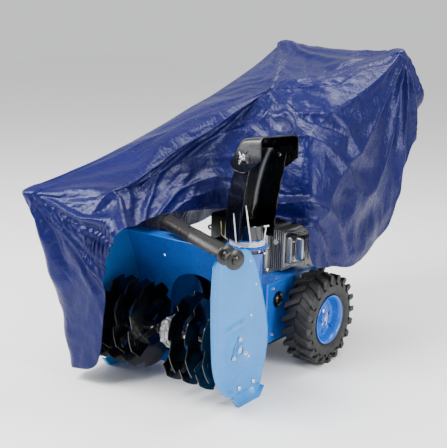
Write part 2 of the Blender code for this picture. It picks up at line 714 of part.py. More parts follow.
def build_handlebar(name, side):
    corners = [(side * 0.1770, 0.060, 0.180), (side * 0.1770, 0.190, 0.350)]
    corners += [(side * 0.2320, 0.330, 0.760), (side * GRIP_X, 0.405, 0.9300)]
    corners += [(side * GRIP_X, 0.600, 0.9300)]
    path = rounded_path(corners, 0.045, 5)
    made = swept(name, path, circle(TUBE_R, 14), BLACK, 0.3, up=(1, 0, 0))
    return made


def build_grip(name, side):
    profile = [(TUBE_R + GAP, 0.455), (0.0175, 0.455), (0.0190, 0.462), (0.0175, 0.470)]
    profile += [(0.0170, 0.585), (0.0200, 0.592), (0.0200, 0.600), (0.0170, 0.6035), (TUBE_R + GAP, 0.6035)]
    return turned(name, profile, (side * GRIP_X, 0, 0.930), (0, 1, 0), BLACK, 0.75, 0.0, 20)


def build_brace():
    """Cross tube between the handlebars, with the eye that carries the crank."""
    y = 0.3075
    z = 0.6950
    path = [(-0.2090, y, z), (0.2090, y, z)]
    made = swept("handlebar_brace", path, circle(0.010, 12), BLACK, 0.3)
    return made


def build_panel():
    """Control panel between the handlebars, with the shift gate and the lever ears."""
    side = [(0.350, 0.915), (0.440, 0.915), (0.447, 0.922), (0.447, 0.955), (0.430, 0.985)]
    side += [(0.352, 0.985), (0.342, 0.975), (0.342, 0.925)]
    made = prism("control_panel", side, "x", -0.232, 0.232, BLACK, 0.4)
    hollow = [(0.352, 0.900), (0.438, 0.900), (0.444, 0.920), (0.444, 0.954), (0.428, 0.982)]
    hollow += [(0.354, 0.982), (0.345, 0.974), (0.345, 0.925)]
    cut(made, prism("panel_hollow", hollow, "x", -0.229, 0.229, BLACK))
    gate = box("shift_gate", (-0.008, 0.357, 0.97), (0.008, 0.427, 1.0), BLACK)
    cut(made, gate)
    for k in (-1, 1):
        low, high = sorted((k * 0.2290, k * 0.2370))
        ear = box(f"panel_ear_{k}", (low, LEVER_Y - 0.012, 0.9460), (high, LEVER_Y + 0.012, 0.978), BLACK)
        weld(made, ear)
    return made


def build_lever(name, side):
    """Clutch lever standing above its grip, hinged at its front end."""
    x = side * GRIP_X
    tip = Vector((x, 0.520, 1.077))
    root = Vector((x, LEVER_Y, LEVER_Z))
    path = [root, root + Vector((0, 0.020, 0.012)), tip - Vector((0, 0.02, 0.030)), tip]
    path = rounded_path(path, 0.008, 3)
    section = [(-0.011, -0.003), (0.011, -0.003), (0.011, 0.003), (-0.011, 0.003)]
    made = swept(name, path, section, BLACK, 0.4, up=(0, 0, 1), smooth=False)
    hub = rod(name + "_hub", root, (1, 0, 0), 0.0085, -0.0125, 0.0125, BLACK, steps=14)
    weld(made, hub)
    return made


def build_speed_lever():
    """Shift lever that swings fore and aft in the panel's gate."""
    made = rod("speed_lever", (0, 0.392, 0), (0, 0, 1), 0.0040, 0.932, 1.000, STEEL, 0.35, 1.0, 12)
    knob = turned("speed_knob", [(0, 0.994), (0.009, 0.994), (0.012, 1.000), (0.011, 1.008),
                                 (0.006, 1.012), (0, 1.012)], (0, 0.392, 0), (0, 0, 1), BLACK,
                  steps=18)
    foot = rod("speed_foot", (0, 0.392, 0.935), (1, 0, 0), 0.008, -0.012, 0.012, steps=12)
    weld(made, knob, foot)
    return made


def crank_line():
    start = Vector((0.0145, -0.2450, 0.4650))
    end = Vector((-0.030, 0.455, 0.815))
    return start, end, (end - start).normalized()


def build_crank():
    """Chute crank: worm at the front end, long rod, and the bent handle at the back."""
    start, end, along = crank_line()
    made = swept("chute_crank", [start, end], circle(0.0050, 10), STEEL, 0.35, 1.0)
    across = along.cross(Vector((1, 0, 0))).normalized()
    corner = end - along * 0.001
    bend = [corner, corner + across * 0.070]
    arm = swept("crank_arm", bend, circle(0.0050, 10), STEEL, up=along)
    grip_start = corner + across * 0.066
    grip = swept("crank_grip", [grip_start - along * 0.004, grip_start + along * 0.072],
                 circle(0.0125, 14), BLACK)
    thread = turned("crank_worm", [(0, 0.002), (0.009, 0.002), (0.009, 0.046), (0, 0.046)],
                    start, along, STEEL, steps=16)
    weld(made, arm, grip, thread)
    return made


def build_cable(name, side):
    """Control cable from the lever's root down to the frame."""
    corners = [(side * 0.2180, 0.400, 0.9135), (side * 0.2050, 0.375, 0.80), (side * 0.190, 0.300, 0.60)]
    corners += [(side * 0.150, 0.215, 0.42), (side * 0.120, 0.185, 0.33), (side * 0.120, 0.150, 0.3180)]
    path = rounded_path(corners, 0.05, 4)
    return swept(name, path, circle(0.0030, 8), BLACK, 0.5, up=(1, 0, 0))


# Discharge chute


def throw(u, v, z):
    """Chute coordinates: u along the throw, v to its left, z up."""
    aim = Vector((math.sin(CHUTE_AIM), -math.cos(CHUTE_AIM), 0))
    left = Vector((math.cos(CHUTE_AIM), math.sin(CHUTE_AIM), 0))
    return Vector((CHUTE_X, CHUTE_Y, 0)) + aim * u + left * v + Vector((0, 0, z))


def build_collar():
    """Fixed black collar that clamps the chute to the neck, with the crank's bracket."""
    at = (CHUTE_X, CHUTE_Y, 0)
    profile = [(0.0563, 0.4380), (0.064, 0.4380), (0.066, 0.446), (0.0700, 0.448)]
    profile += [(0.0700, 0.4530), (0.0563, 0.4530)]
    made = turned("chute_collar", profile, at, (0, 0, 1), BLACK, 0.35, 0.0, 32)
    for k in range(6):
        turn = math.pi / 3 * k + 0.35
        spot = (CHUTE_X + 0.0615 * math.cos(turn), CHUTE_Y + 0.0615 * math.sin(turn))
        weld(made, prism(f"collar_bolt_{k}", hex_outline(spot, 0.009), "z", 0.4340, 0.4400, WHITE))
    start, _, along = crank_line()
    spot = start + along * 0.060
    arm = box("crank_arm_plate", (spot.x - 0.004, CHUTE_Y + 0.020, 0.4400),
              (CHUTE_X - 0.055, spot.y + 0.004, 0.4440), BLACK)
    post = box("crank_post", (spot.x - 0.010, spot.y - 0.004, 0.4400),
               (spot.x + 0.010, spot.y + 0.004, spot.z + 0.012), BLACK)
    hole = rod("crank_post_hole", spot, along, 0.0056, -0.03, 0.03, steps=14)
    weld(made, arm, post)
    cut(made, hole)
    return made


def build_chute_base():
    """Turning base: toothed flange, short spigot and the seat of the chute."""
    at = (CHUTE_X, CHUTE_Y, 0)
    profile = [(0.0530, 0.4675), (0.0563, 0.4675), (0.0563, 0.4535), (0.0740, 0.4535)]
    profile += [(0.0740, 0.4585), (0.0600, 0.4600), (0.0600, 0.4820), (0.0555, 0.4860)]
    profile += [(0.0530, 0.4860)]
    profile[1] = (0.0566, 0.4675)
    profile[2] = (0.0566, 0.4535)
    made = turned("chute_base", profile, at, (0, 0, 1), BLUE, 0.35, 0.0, 36)
    return made


def chute_rows(line_back, line_front, half, corner):
    """Rows across a U channel whose back and front edges follow two lines in (u, z)."""
    rows = []
    for (ub, zb), (uf, zf) in zip(line_back, line_front):
        aim = Vector((uf - ub, zf - zb)).normalized()
        row = [throw(uf, half, zf)]
        middle = (ub + aim.x * corner, zb + aim.y * corner)
        mid_front = ((uf + middle[0]) / 2, (zf + middle[1]) / 2)
        row.append(throw(mid_front[0], half, mid_front[1]))
        for k in range(5):
            turn = math.pi / 2 * k / 4
            back = corner * (1 - math.sin(turn))
            spread = half - corner * (1 - math.cos(turn))
            row.append(throw(ub + aim.x * back, spread, zb + aim.y * back))
        mirrored = []
        for k in range(4, -1, -1):
            turn = math.pi / 2 * k / 4
            back = corner * (1 - math.sin(turn))
            spread = half - corner * (1 - math.cos(turn))
            mirrored.append(throw(ub + aim.x * back, -spread, zb + aim.y * back))
        row += mirrored
        row.append(throw(mid_front[0], -half, mid_front[1]))
        row.append(throw(uf, -half, zf))
        rows.append(row)
    return rows


def build_chute_body():
    back = [(-0.0480, 0.4865), (-0.0480, 0.530), (-0.0420, 0.580), (-0.0320, 0.640)]
    back += [(-0.0140, 0.700), (0.0060, 0.748), (0.0340, 0.797)]
    front = [(0.0560, 0.4865), (0.0600, 0.530), (0.0660, 0.575), (0.0750, 0.630)]
    front += [(0.0870, 0.685), (0.0990, 0.735), (0.1100, 0.790)]
    rows = chute_rows(back, front, CHUTE_HALF, 0.030)
    for share, row in zip((0.80, 0.93), rows):
        middle = throw(0, 0, 0)
        for i, point in enumerate(row):
            flat = Vector((point.x - middle.x, point.y - middle.y, 0))
            row[i] = middle + flat * share + Vector((0, 0, point.z))
    made = sheet("chute_body", rows, SHEET, BLACK, 0.15, 0.0, offset=0.0)
    cut(made, pivot_cutter("chute_pivot_cutter", 0.0045))
    return made


def pivot_cutter(name, radius):
    left = throw(0, 1, 0) - throw(0, 0, 0)
    return rod(name, throw(PIVOT_U, 0, PIVOT_Z), left, radius, -0.12, 0.12, steps=12)


def build_deflector():
    back = [(-0.0120, 0.7520), (0.0060, 0.7750), (0.0208, 0.7970), (0.0520, 0.8340)]
    back += [(0.1080, 0.8480), (0.1640, 0.8570)]
    front = [(0.0120, 0.7280), (0.0420, 0.7240), (0.0750, 0.7280), (0.1050, 0.7420)]
    front += [(0.1400, 0.7650), (0.1660, 0.7820)]
    rows = chute_rows(back, front, DEFLECTOR_HALF, 0.014)
    made = sheet("deflector", rows, 0.0030, BLACK, 0.15, 0.0, offset=0.0)
    cut(made, pivot_cutter("deflector_pivot_cutter", 0.0045))
    return made


def build_wing_bolt(name, side):
    left = (throw(0, 1, 0) - throw(0, 0, 0)) * side
    at = throw(PIVOT_U, 0, PIVOT_Z)
    profile = [(0, 0.0635), (0.0080, 0.0635), (0.0080, 0.0685), (0.0041, 0.0685), (0.0041, 0.0765)]
    profile += [(0.0095, 0.0765), (0.0085, 0.0830), (0.0050, 0.0890), (0, 0.0890)]
    made = turned(name, profile, at, left, CHROME, 0.15, 1.0, 14)
    for k in (-1, 1):
        low = at + left * 0.080 + Vector((0, 0, 0.004 * k))
        high = at + left * 0.093 + Vector((0, 0, 0.020 * k))
        wing = swept(f"{name}_wing_{k}", [low, high],
                     [(-0.0018, -0.0045), (0.0018, -0.0045), (0.0018, 0.0045), (-0.0018, 0.0045)],
                     CHROME, up=left, smooth=False)
        weld(made, wing)
    return made


def build_ties():
    """Cable ties stacked round the chute's seat, their tails standing up beside it."""
    at = (CHUTE_X, CHUTE_Y, 0)
    profile = [(0.0603, 0.4635), (0.0623, 0.4635), (0.0623, 0.4805), (0.0603, 0.4805)]
    made = turned("cable_ties", profile, at, (0, 0, 1), WHITE, 0.4, 0.0, 36)
    for i, (turn, tall, lean) in enumerate(((-80, 0.100, -0.10), (-48, 0.125, -0.16), (-15, 0.045, 0.03))):
        way = math.radians(turn)
        out = Vector((math.cos(way), math.sin(way), 0))
        around = Vector((-math.sin(way), math.cos(way), 0))
        foot = Vector(at) + out * 0.0640 + Vector((0, 0, 0.470))
        bend = foot + Vector((0, 0, 0.022)) + out * 0.026
        head = bend + Vector((0, 0, tall)) + out * 0.006 + around * lean * tall
        tail = swept(f"tie_tail_{i}", [foot, bend, head],
                     [(-0.0023, -0.0006), (0.0023, -0.0006), (0.0023, 0.0006), (-0.0023, 0.0006)],
                     WHITE, up=out, smooth=False)
        lock = box(f"tie_lock_{i}", (-0.004, -0.0038, -0.003), (0.004, 0.0038, 0.005), WHITE)
        lock.data.transform(Matrix.Translation(foot) @ Matrix.Rotation(way + math.pi / 2, 4, "Z"))
        weld(made, tail, lock)
    return made


def build_tag():
    """Blank plastic tag hanging from a tie at the chute's left foot."""
    way = math.radians(-150)
    out = Vector((math.cos(way), math.sin(way), 0))
    around = Vector((-math.sin(way), math.cos(way), 0))
    foot = Vector((CHUTE_X, CHUTE_Y, 0.4700)) + out * 0.0660
    bend = foot + Vector((0, 0, 0.018)) + out * 0.022
    head = bend + Vector((0, 0, 0.048)) + out * 0.004
    section = [(-0.0100, -0.0006), (0.0100, -0.0006), (0.0100, 0.0006), (-0.0100, 0.0006)]
    return swept("chute_tag", [foot, bend, head], section, WHITE, 0.5, up=out, smooth=False)


# Clean-out tool


def build_tool():
    """Plastic shovel for clearing the chute: trough, two collars and a handle rod."""
    start = Vector((-0.030, -0.5080, 0.5560))
    end = Vector((0.380, -0.6800, 0.5420))
    along = (end - start).normalized()
    length = (end - start).length
    arc_line = arc((0, 0), 0.030, -12, 192, 14)
    inner = arc((0, 0), 0.0272, 192, -12, 14)
    body = swept("clean_out_tool", [start, start + along * 0.012, start + along * 0.245],
                 arc_line + inner, BLACK, 0.35, smooth=False)
    collar = swept("tool_collar", [start + along * 0.240, start + along * 0.246],
                   circle(0.031, 24), BLACK)
    neck = swept("tool_neck", [start + along * 0.240, start + along * (length - 0.040)],
                 circle(0.0140, 16), BLACK)
    stop = swept("tool_stop", [start + along * (length - 0.046), start + along * (length - 0.040)],
                 circle(0.0300, 24), BLACK)
    end_piece = swept("tool_end", [start + along * (length - 0.042), end], circle(0.0170, 16), BLACK)
    weld(body, collar, neck, stop, end_piece)
    return body


# Storage cover

# Each station round the cover, from the rear centre past the near side, the front and the far
# side: the top edge, two points on the skirt and the hem.
COVER_STATIONS = [
    ((0.000, 0.520, 1.072), (0.000, 0.592, 1.000), (0.000, 0.616, 0.910), (0.000, 0.618, 0.800)),
    ((0.150, 0.525, 1.078), (0.150, 0.598, 1.010), (0.160, 0.621, 0.910), (0.170, 0.620, 0.800)),
    ((0.240, 0.520, 1.094), (0.250, 0.602, 1.015), (0.264, 0.634, 0.910), (0.263, 0.622, 0.800)),
    ((0.275, 0.500, 1.092), (0.290, 0.572, 1.010), (0.302, 0.600, 0.880), (0.300, 0.575, 0.755)),
    ((0.276, 0.470, 1.078), (0.292, 0.500, 0.980), (0.300, 0.505, 0.800), (0.303, 0.490, 0.590)),
    ((0.274, 0.440, 1.060), (0.288, 0.450, 0.960), (0.294, 0.440, 0.780), (0.302, 0.394, 0.451)),
    ((0.268, 0.340, 1.005), (0.286, 0.330, 0.880), (0.296, 0.290, 0.680), (0.304, 0.265, 0.390)),
    ((0.240, 0.220, 0.940), (0.276, 0.190, 0.800), (0.294, 0.150, 0.620), (0.306, 0.138, 0.345)),
    ((0.210, 0.110, 0.885), (0.256, 0.070, 0.760), (0.284, 0.030, 0.600), (0.304, 0.020, 0.365)),
    ((0.180, 0.030, 0.835), (0.230, -0.020, 0.730), (0.266, -0.060, 0.600), (0.298, -0.085, 0.385)),
    ((0.160, 0.000, 0.815), (0.195, -0.050, 0.720), (0.225, -0.080, 0.620), (0.255, -0.105, 0.515)),
    ((0.120, -0.010, 0.800), (0.140, -0.060, 0.710), (0.155, -0.085, 0.620), (0.170, -0.098, 0.520)),
    ((0.060, -0.020, 0.790), (0.070, -0.065, 0.710), (0.078, -0.090, 0.620), (0.085, -0.102, 0.530)),
    ((-0.010, -0.060, 0.780), (-0.008, -0.100, 0.700), (-0.004, -0.120, 0.630), (0.000, -0.125, 0.545)),
    ((-0.115, -0.160, 0.740), (-0.085, -0.180, 0.680), (-0.062, -0.190, 0.620), (-0.045, -0.200, 0.550)),
    ((-0.150, -0.280, 0.710), (-0.110, -0.290, 0.660), (-0.080, -0.300, 0.610), (-0.055, -0.310, 0.560)),
    ((-0.165, -0.400, 0.690), (-0.125, -0.405, 0.650), (-0.095, -0.410, 0.610), (-0.068, -0.415, 0.568)),
    ((-0.170, -0.510, 0.670), (-0.135, -0.520, 0.640), (-0.105, -0.525, 0.605), (-0.080, -0.530, 0.570)),
    ((-0.180, -0.610, 0.655), (-0.145, -0.640, 0.630), (-0.110, -0.662, 0.590), (-0.070, -0.690, 0.545)),
    ((-0.230, -0.670, 0.648), (-0.190, -0.705, 0.590), (-0.160, -0.715, 0.500), (-0.125, -0.705, 0.420)),
    ((-0.300, -0.710, 0.645), (-0.250, -0.735, 0.560), (-0.200, -0.725, 0.380), (-0.150, -0.700, 0.240)),
    ((-0.370, -0.740, 0.643), (-0.310, -0.745, 0.530), (-0.240, -0.725, 0.280), (-0.185, -0.695, 0.085)),
    ((-0.432, -0.766, 0.643), (-0.385, -0.745, 0.510), (-0.328, -0.722, 0.260), (-0.287, -0.702, 0.055)),
    ((-0.438, -0.740, 0.652), (-0.400, -0.690, 0.520), (-0.352, -0.655, 0.270), (-0.313, -0.630, 0.050)),
    ((-0.405, -0.620, 0.688), (-0.375, -0.580, 0.560), (-0.345, -0.550, 0.330), (-0.318, -0.520, 0.085)),
    ((-0.365, -0.470, 0.735), (-0.355, -0.440, 0.620), (-0.345, -0.420, 0.430), (-0.335, -0.400, 0.200)),
    ((-0.335, -0.300, 0.790), (-0.345, -0.280, 0.680), (-0.352, -0.260, 0.520), (-0.352, -0.250, 0.330)),
    ((-0.315, -0.120, 0.850), (-0.335, -0.100, 0.740), (-0.350, -0.080, 0.580), (-0.358, -0.080, 0.390)),
    ((-0.300, 0.060, 0.910), (-0.322, 0.080, 0.800), (-0.342, 0.100, 0.640), (-0.350, 0.100, 0.410)),
    ((-0.288, 0.240, 0.975), (-0.308, 0.250, 0.870), (-0.325, 0.260, 0.700), (-0.335, 0.260, 0.430)),
    ((-0.278, 0.360, 1.028), (-0.296, 0.370, 0.930), (-0.308, 0.370, 0.760), (-0.318, 0.360, 0.460)),
    ((-0.276, 0.450, 1.068), (-0.292, 0.480, 0.970), (-0.302, 0.490, 0.800), (-0.308, 0.470, 0.580)),
    ((-0.275, 0.500, 1.092), (-0.290, 0.572, 1.010), (-0.302, 0.600, 0.880), (-0.300, 0.575, 0.750)),
    ((-0.240, 0.520, 1.094), (-0.250, 0.602, 1.015), (-0.264, 0.634, 0.910), (-0.263, 0.622, 0.800)),
    ((-0.150, 0.525, 1.078), (-0.150, 0.598, 1.010), (-0.160, 0.621, 0.910), (-0.170, 0.620, 0.800)),
]
COVER_CENTRE = (-0.060, 0.100, 0.945)


def spline(points, steps):
    """A smooth line through the points, with steps pieces between each pair."""
    out = []
    last = len(points) - 1
    for i in range(last):
        p0 = Vector(points[max(i - 1, 0)])
        p1 = Vector(points[i])
        p2 = Vector(points[i + 1])
        p3 = Vector(points[min(i + 2, last)])
        for k in range(steps):
            t = k / steps
            a = p1 * 2
            b = (p2 - p0) * t
            c = (p0 * 2 - p1 * 5 + p2 * 4 - p3) * t * t
            d = (p1 * 3 - p0 - p2 * 3 + p3) * t ** 3
            out.append((a + b + c + d) * 0.5)
    out.append(Vector(points[-1]))
    return out


def build_cover():
    """Thin cloth shell: a top panel from the levers to the front corner, and its skirt."""
    columns = []
    for edge, upper, lower, hem in COVER_STATIONS:
        inner = Vector(COVER_CENTRE).lerp(Vector(edge), 0.22)
        middle = Vector(COVER_CENTRE).lerp(Vector(edge), 0.60)
        columns.append([inner, middle] + spline([edge, upper, lower, hem], 2))
    count = len(columns[0])
    rows = [[column[i] for column in columns] for i in range(count)]
    centre = len(rows) * len(columns)
    points = [p for row in rows for p in row] + [Vector(COVER_CENTRE)]
    width = len(columns)
    faces = []
    for i in range(count - 1):
        for k in range(width):
            j = (k + 1) % width
            faces.append([i * width + k, i * width + j, (i + 1) * width + j, (i + 1) * width + k])
    for k in range(width):
        faces.append([k, (k + 1) % width, centre])
    made = solid("storage_cover", points, faces, COVER_BLUE, 0.3, 0.0, smooth=True)
    step = made.modifiers.new("thickness", "SOLIDIFY")
    step.thickness = 0.0022
    step.offset = 1.0
    return made


def place_origin():
    """Moves the whole machine so that its box's bottom centre is the origin."""
    for made in bpy.data.objects:
        made.location.x -= ORIGIN_X
        made.location.y -= ORIGIN_Y


def build():
    build_housing_shell()
    build_side_plate("side_plate_left", 1)
    build_side_plate("side_plate_right", -1)
    build_skid_shoe("skid_shoe_left", 1)
    build_skid_shoe("skid_shoe_right", -1)
    build_auger_bearing("auger_bearing_left", 1)
    build_auger_bearing("auger_bearing_right", -1)
    build_scraper_bar()
    build_drum()
    build_gearbox()
    build_auger("auger_left", 1, 0.6)
    build_auger("auger_right", -1, 0.6)
    build_auger_shaft()
    build_impeller()
    build_impeller_shaft()
    build_frame()
    build_bottom_plate()
    build_drive_shaft()
    build_axle()
    for name, side in (("left", 1), ("right", -1)):
        build_rim(f"rim_{name}", side)
        build_tyre(f"tyre_{name}", side)
        build_hub_pin(f"hub_pin_{name}", side)
        build_handlebar(f"handlebar_{name}", side)
        build_grip(f"grip_{name}", side)
        build_wing_bolt(f"wing_bolt_{name}", side)
    build_crankcase()
    build_cylinder()
    build_recoil_cover()
    build_recoil_handle()
    build_fuel_tank()
    build_fuel_cap()
    build_carburettor_cover()
    build_choke_knob()
    build_primer_bulb()
    build_ignition_key()
    build_muffler()
    build_muffler_guard()
    build_belt_cover()
    build_brace()
    build_panel()
    build_lever("auger_lever", 1)
    build_lever("drive_lever", -1)
    build_speed_lever()
    build_crank()
    build_cable("auger_cable", 1)
    build_cable("drive_cable", -1)
    build_collar()
    build_chute_base()
    build_chute_body()
    build_deflector()
    build_ties()
    build_tag()
    build_tool()
    build_cover()
    place_origin()


build()
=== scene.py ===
"""Looks of the two-stage snowblower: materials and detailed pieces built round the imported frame."""

import json
import math

import bmesh
import bpy
from mathutils import Matrix, Vector, noise
from mathutils.geometry import delaunay_2d_cdt


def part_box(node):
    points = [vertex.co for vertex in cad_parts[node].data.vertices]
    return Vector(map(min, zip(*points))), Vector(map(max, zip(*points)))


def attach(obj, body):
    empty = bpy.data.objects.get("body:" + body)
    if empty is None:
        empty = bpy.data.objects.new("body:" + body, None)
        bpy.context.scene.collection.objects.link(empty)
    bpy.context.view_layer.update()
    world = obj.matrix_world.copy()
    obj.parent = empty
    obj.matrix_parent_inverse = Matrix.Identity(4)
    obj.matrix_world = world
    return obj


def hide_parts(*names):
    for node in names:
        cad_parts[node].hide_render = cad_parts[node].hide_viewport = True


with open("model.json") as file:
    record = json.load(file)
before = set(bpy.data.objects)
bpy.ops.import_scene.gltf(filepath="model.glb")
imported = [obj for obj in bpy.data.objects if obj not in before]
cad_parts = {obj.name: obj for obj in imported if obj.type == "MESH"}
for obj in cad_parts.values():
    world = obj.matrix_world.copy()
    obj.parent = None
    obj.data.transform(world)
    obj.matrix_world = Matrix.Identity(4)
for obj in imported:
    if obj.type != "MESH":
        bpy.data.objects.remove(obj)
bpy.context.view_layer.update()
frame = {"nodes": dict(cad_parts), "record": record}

# The axle's centre is the point from which every position below is counted.
_low, _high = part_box("axle")
ORIGIN = Vector(((_low[0] + _high[0]) / 2, (_low[1] + _high[1]) / 2, 0))
WHEEL_R = 0.165
TRACK_HALF = 0.259
HOUSING_HALF = 0.2715
AUGER_Y, AUGER_Z, AUGER_R = -0.515, 0.192, 0.15
IMPELLER_Z = 0.222
CHUTE_X, CHUTE_Y = 0.11, -0.25
CHUTE_AIM = math.radians(70.0)
PIVOT_U, PIVOT_Z = 0.072, 0.779
GRIP_X, GRIP_Z = 0.25, 0.93
LEVER_TIP = Vector((0.262, 0.515, 1.09))
FRONT_CORNER = Vector((-0.435, -0.76, 0.643))
CLOTH_FRAMES = 10
CLOTH_MOST_MOVE = 0.01
CAMERA_PLACE = Vector((2.0557646, -3.06126509, 1.38442439))
CAMERA_AZIMUTH, CAMERA_PITCH, CAMERA_ROLL = (math.radians(a) for a in (36.07591, 14.05834, 1.5399957))
CAMERA_LENS = 82.96

BLUE = (0.001, 0.105, 0.5)
LIGHT_BLUE = (0.002, 0.2, 0.56)
COVER_BLUE = (0.0022, 0.0032, 0.056)
BLACK = (0.002, 0.002, 0.0024)
CAST = (0.5, 0.5, 0.5)
STEEL = (0.6, 0.61, 0.62)
WHITE = (0.82, 0.82, 0.8)


# Materials


class Nodes:
    """A short way to write one material's nodes."""

    def __init__(self, name):
        self.mat = bpy.data.materials.new(name)
        self.mat.use_nodes = True
        self.tree = self.mat.node_tree
        self.tree.nodes.clear()
        self.out = self.tree.nodes.new("ShaderNodeOutputMaterial")
        self.shader = self.tree.nodes.new("ShaderNodeBsdfPrincipled")
        self.tree.links.new(self.shader.outputs[0], self.out.inputs[0])
        coords = self.tree.nodes.new("ShaderNodeTexCoord")
        self.coords = coords.outputs["Object"]

    def put(self, socket, value):
        """Sets a socket to a number or a colour, or links another node's output to it."""
        if isinstance(value, tuple) and socket.type == "RGBA" and len(value) == 3:
            socket.default_value = (*value, 1.0)
        elif isinstance(value, (int, float, tuple)):
            socket.default_value = value
        else:
            self.tree.links.new(value, socket)

    def node(self, kind, **inputs):
        made = self.tree.nodes.new("ShaderNode" + kind)
        for name, value in inputs.items():
            self.put(made.inputs[name.replace("_", " ")], value)
        return made

    def noise(self, scale, detail=4.0, rough=0.55, stretch=None):
        vector = self.coords
        if stretch:
            vector = self.node("Mapping", Scale=stretch, Vector=vector).outputs["Vector"]
        made = self.node("TexNoise", Scale=scale, Detail=detail, Roughness=rough, Vector=vector)
        return made.outputs["Fac"]

    def cells(self, scale):
        return self.node("TexVoronoi", Scale=scale, Vector=self.coords).outputs["Distance"]

    def spread(self, source, low, high, to_low=0.0, to_high=1.0):
        made = self.node("MapRange", From_Min=low, From_Max=high, To_Min=to_low, To_Max=to_high, Value=source)
        return made.outputs["Result"]

    def mix(self, share, first, second):
        made = self.node("Mix")
        made.data_type = "RGBA"
        self.put(made.inputs["Factor"], share)
        sockets = [s for s in made.inputs if s.type == "RGBA"]
        for socket, value in zip(sockets, (first, second)):
            self.put(socket, value)
        return [s for s in made.outputs if s.type == "RGBA"][0]

    def math(self, operation, first, second):
        made = self.node("Math")
        made.operation = operation
        for socket, value in zip(made.inputs, (first, second)):
            self.put(socket, value)
        return made.outputs[0]

    def bump(self, height, strength, distance, base=None):
        made = self.node("Bump", Strength=strength, Distance=distance, Height=height)
        if base:
            self.put(made.inputs["Normal"], base)
        return made.outputs["Normal"]

    def set(self, **values):
        for name, value in values.items():
            self.put(self.shader.inputs[name.replace("_", " ")], value)
        return self.mat


def lighter(colour, share):
    return tuple(min(1.0, c * share) for c in colour)


def enamel(name, colour, rough=0.28, coat=0.35, dust=0.12):
    """Sprayed enamel: faint orange peel, uneven tone and a little dull dust."""
    n = Nodes(name)
    tone = n.spread(n.noise(7.0, 3.0), 0.35, 0.65)
    paint = n.mix(tone, lighter(colour, 0.9), lighter(colour, 1.1))
    grime = n.spread(n.noise(26.0, 6.0, 0.7), 0.58, 0.8, 0.0, dust * 0.6)
    paint = n.mix(grime, paint, (0.08, 0.085, 0.09))
    peel = n.bump(n.noise(420.0, 2.0), 0.05, 0.0006)
    scratches = n.noise(60.0, 5.0, 0.6, (1.0, 1.0, 7.0))
    gloss = n.spread(scratches, 0.3, 0.75, rough * 0.8, rough * 1.35)
    return n.set(Base_Color=paint, Roughness=gloss, Normal=peel, Coat_Weight=coat,
                 Coat_Roughness=0.12)


def gloss_black(name, rough=0.12):
    """Glossy black paint with fine scuffs and faint dust."""
    n = Nodes(name)
    dust = n.spread(n.noise(18.0, 7.0, 0.7), 0.56, 0.82, 0.0, 0.1)
    paint = n.mix(dust, BLACK, (0.05, 0.05, 0.052))
    scuffs = n.noise(45.0, 6.0, 0.7, (1.0, 5.0, 1.0))
    gloss = n.spread(scuffs, 0.35, 0.75, rough, rough + 0.22)
    uneven = n.bump(n.noise(55.0, 2.0), 0.08, 0.002)
    return n.set(Base_Color=paint, Roughness=gloss, Normal=uneven, Coat_Weight=0.5,
                 Coat_Roughness=0.08)


def grained(name, colour, rough=0.48, grain=900.0, tone=1.25):
    """Moulded plastic with a fine pebbled grain."""
    n = Nodes(name)
    shade = n.spread(n.noise(12.0, 4.0), 0.3, 0.7)
    colours = n.mix(shade, lighter(colour, 0.85), lighter(colour, tone))
    gloss = n.spread(n.noise(34.0, 5.0), 0.3, 0.7, rough - 0.08, rough + 0.1)
    pebble = n.bump(n.cells(grain), 0.18, 0.0004)
    return n.set(Base_Color=colours, Roughness=gloss, Normal=pebble)


def metal(name, colour, rough, grain, depth=0.1, stain=0.3, stretch=(1.0, 1.0, 1.0)):
    """Bare or plated metal with drawn streaks and duller spots."""
    n = Nodes(name)
    streak = n.noise(grain, 6.0, 0.7, stretch)
    spots = n.spread(n.noise(9.0, 5.0, 0.65), 0.45, 0.8, 0.0, stain)
    tone = n.mix(n.spread(streak, 0.3, 0.7), lighter(colour, 0.86), lighter(colour, 1.08))
    tone = n.mix(spots, tone, lighter(colour, 0.45))
    gloss = n.spread(streak, 0.3, 0.75, rough * 0.8, rough * 1.3)
    normal = n.bump(streak, depth, 0.0008)
    return n.set(Base_Color=tone, Roughness=gloss, Normal=normal, Metallic=1.0)


def cast_metal(name):
    """Sand-cast aluminium: coarse skin, darker in its pits."""
    n = Nodes(name)
    skin = n.noise(260.0, 5.0, 0.65)
    blotch = n.spread(n.noise(14.0, 4.0), 0.35, 0.75, 0.0, 0.55)
    tone = n.mix(n.spread(skin, 0.35, 0.65), lighter(CAST, 0.72), lighter(CAST, 1.12))
    tone = n.mix(blotch, tone, lighter(CAST, 0.6))
    return n.set(Base_Color=tone, Roughness=n.spread(skin, 0.3, 0.7, 0.34, 0.58),
                 Normal=n.bump(skin, 0.35, 0.001), Metallic=0.9)


def rubber(name, colour=(0.007, 0.007, 0.0075), rough=0.6):
    """Dull rubber with dust in its pores."""
    n = Nodes(name)
    dust = n.spread(n.noise(22.0, 6.0, 0.7), 0.45, 0.85, 0.0, 0.3)
    tone = n.mix(dust, colour, (0.03, 0.029, 0.028))
    gloss = n.spread(n.noise(48.0, 4.0), 0.3, 0.7, rough - 0.1, rough + 0.12)
    return n.set(Base_Color=tone, Roughness=gloss,
                 Normal=n.bump(n.noise(520.0, 3.0), 0.16, 0.0006))


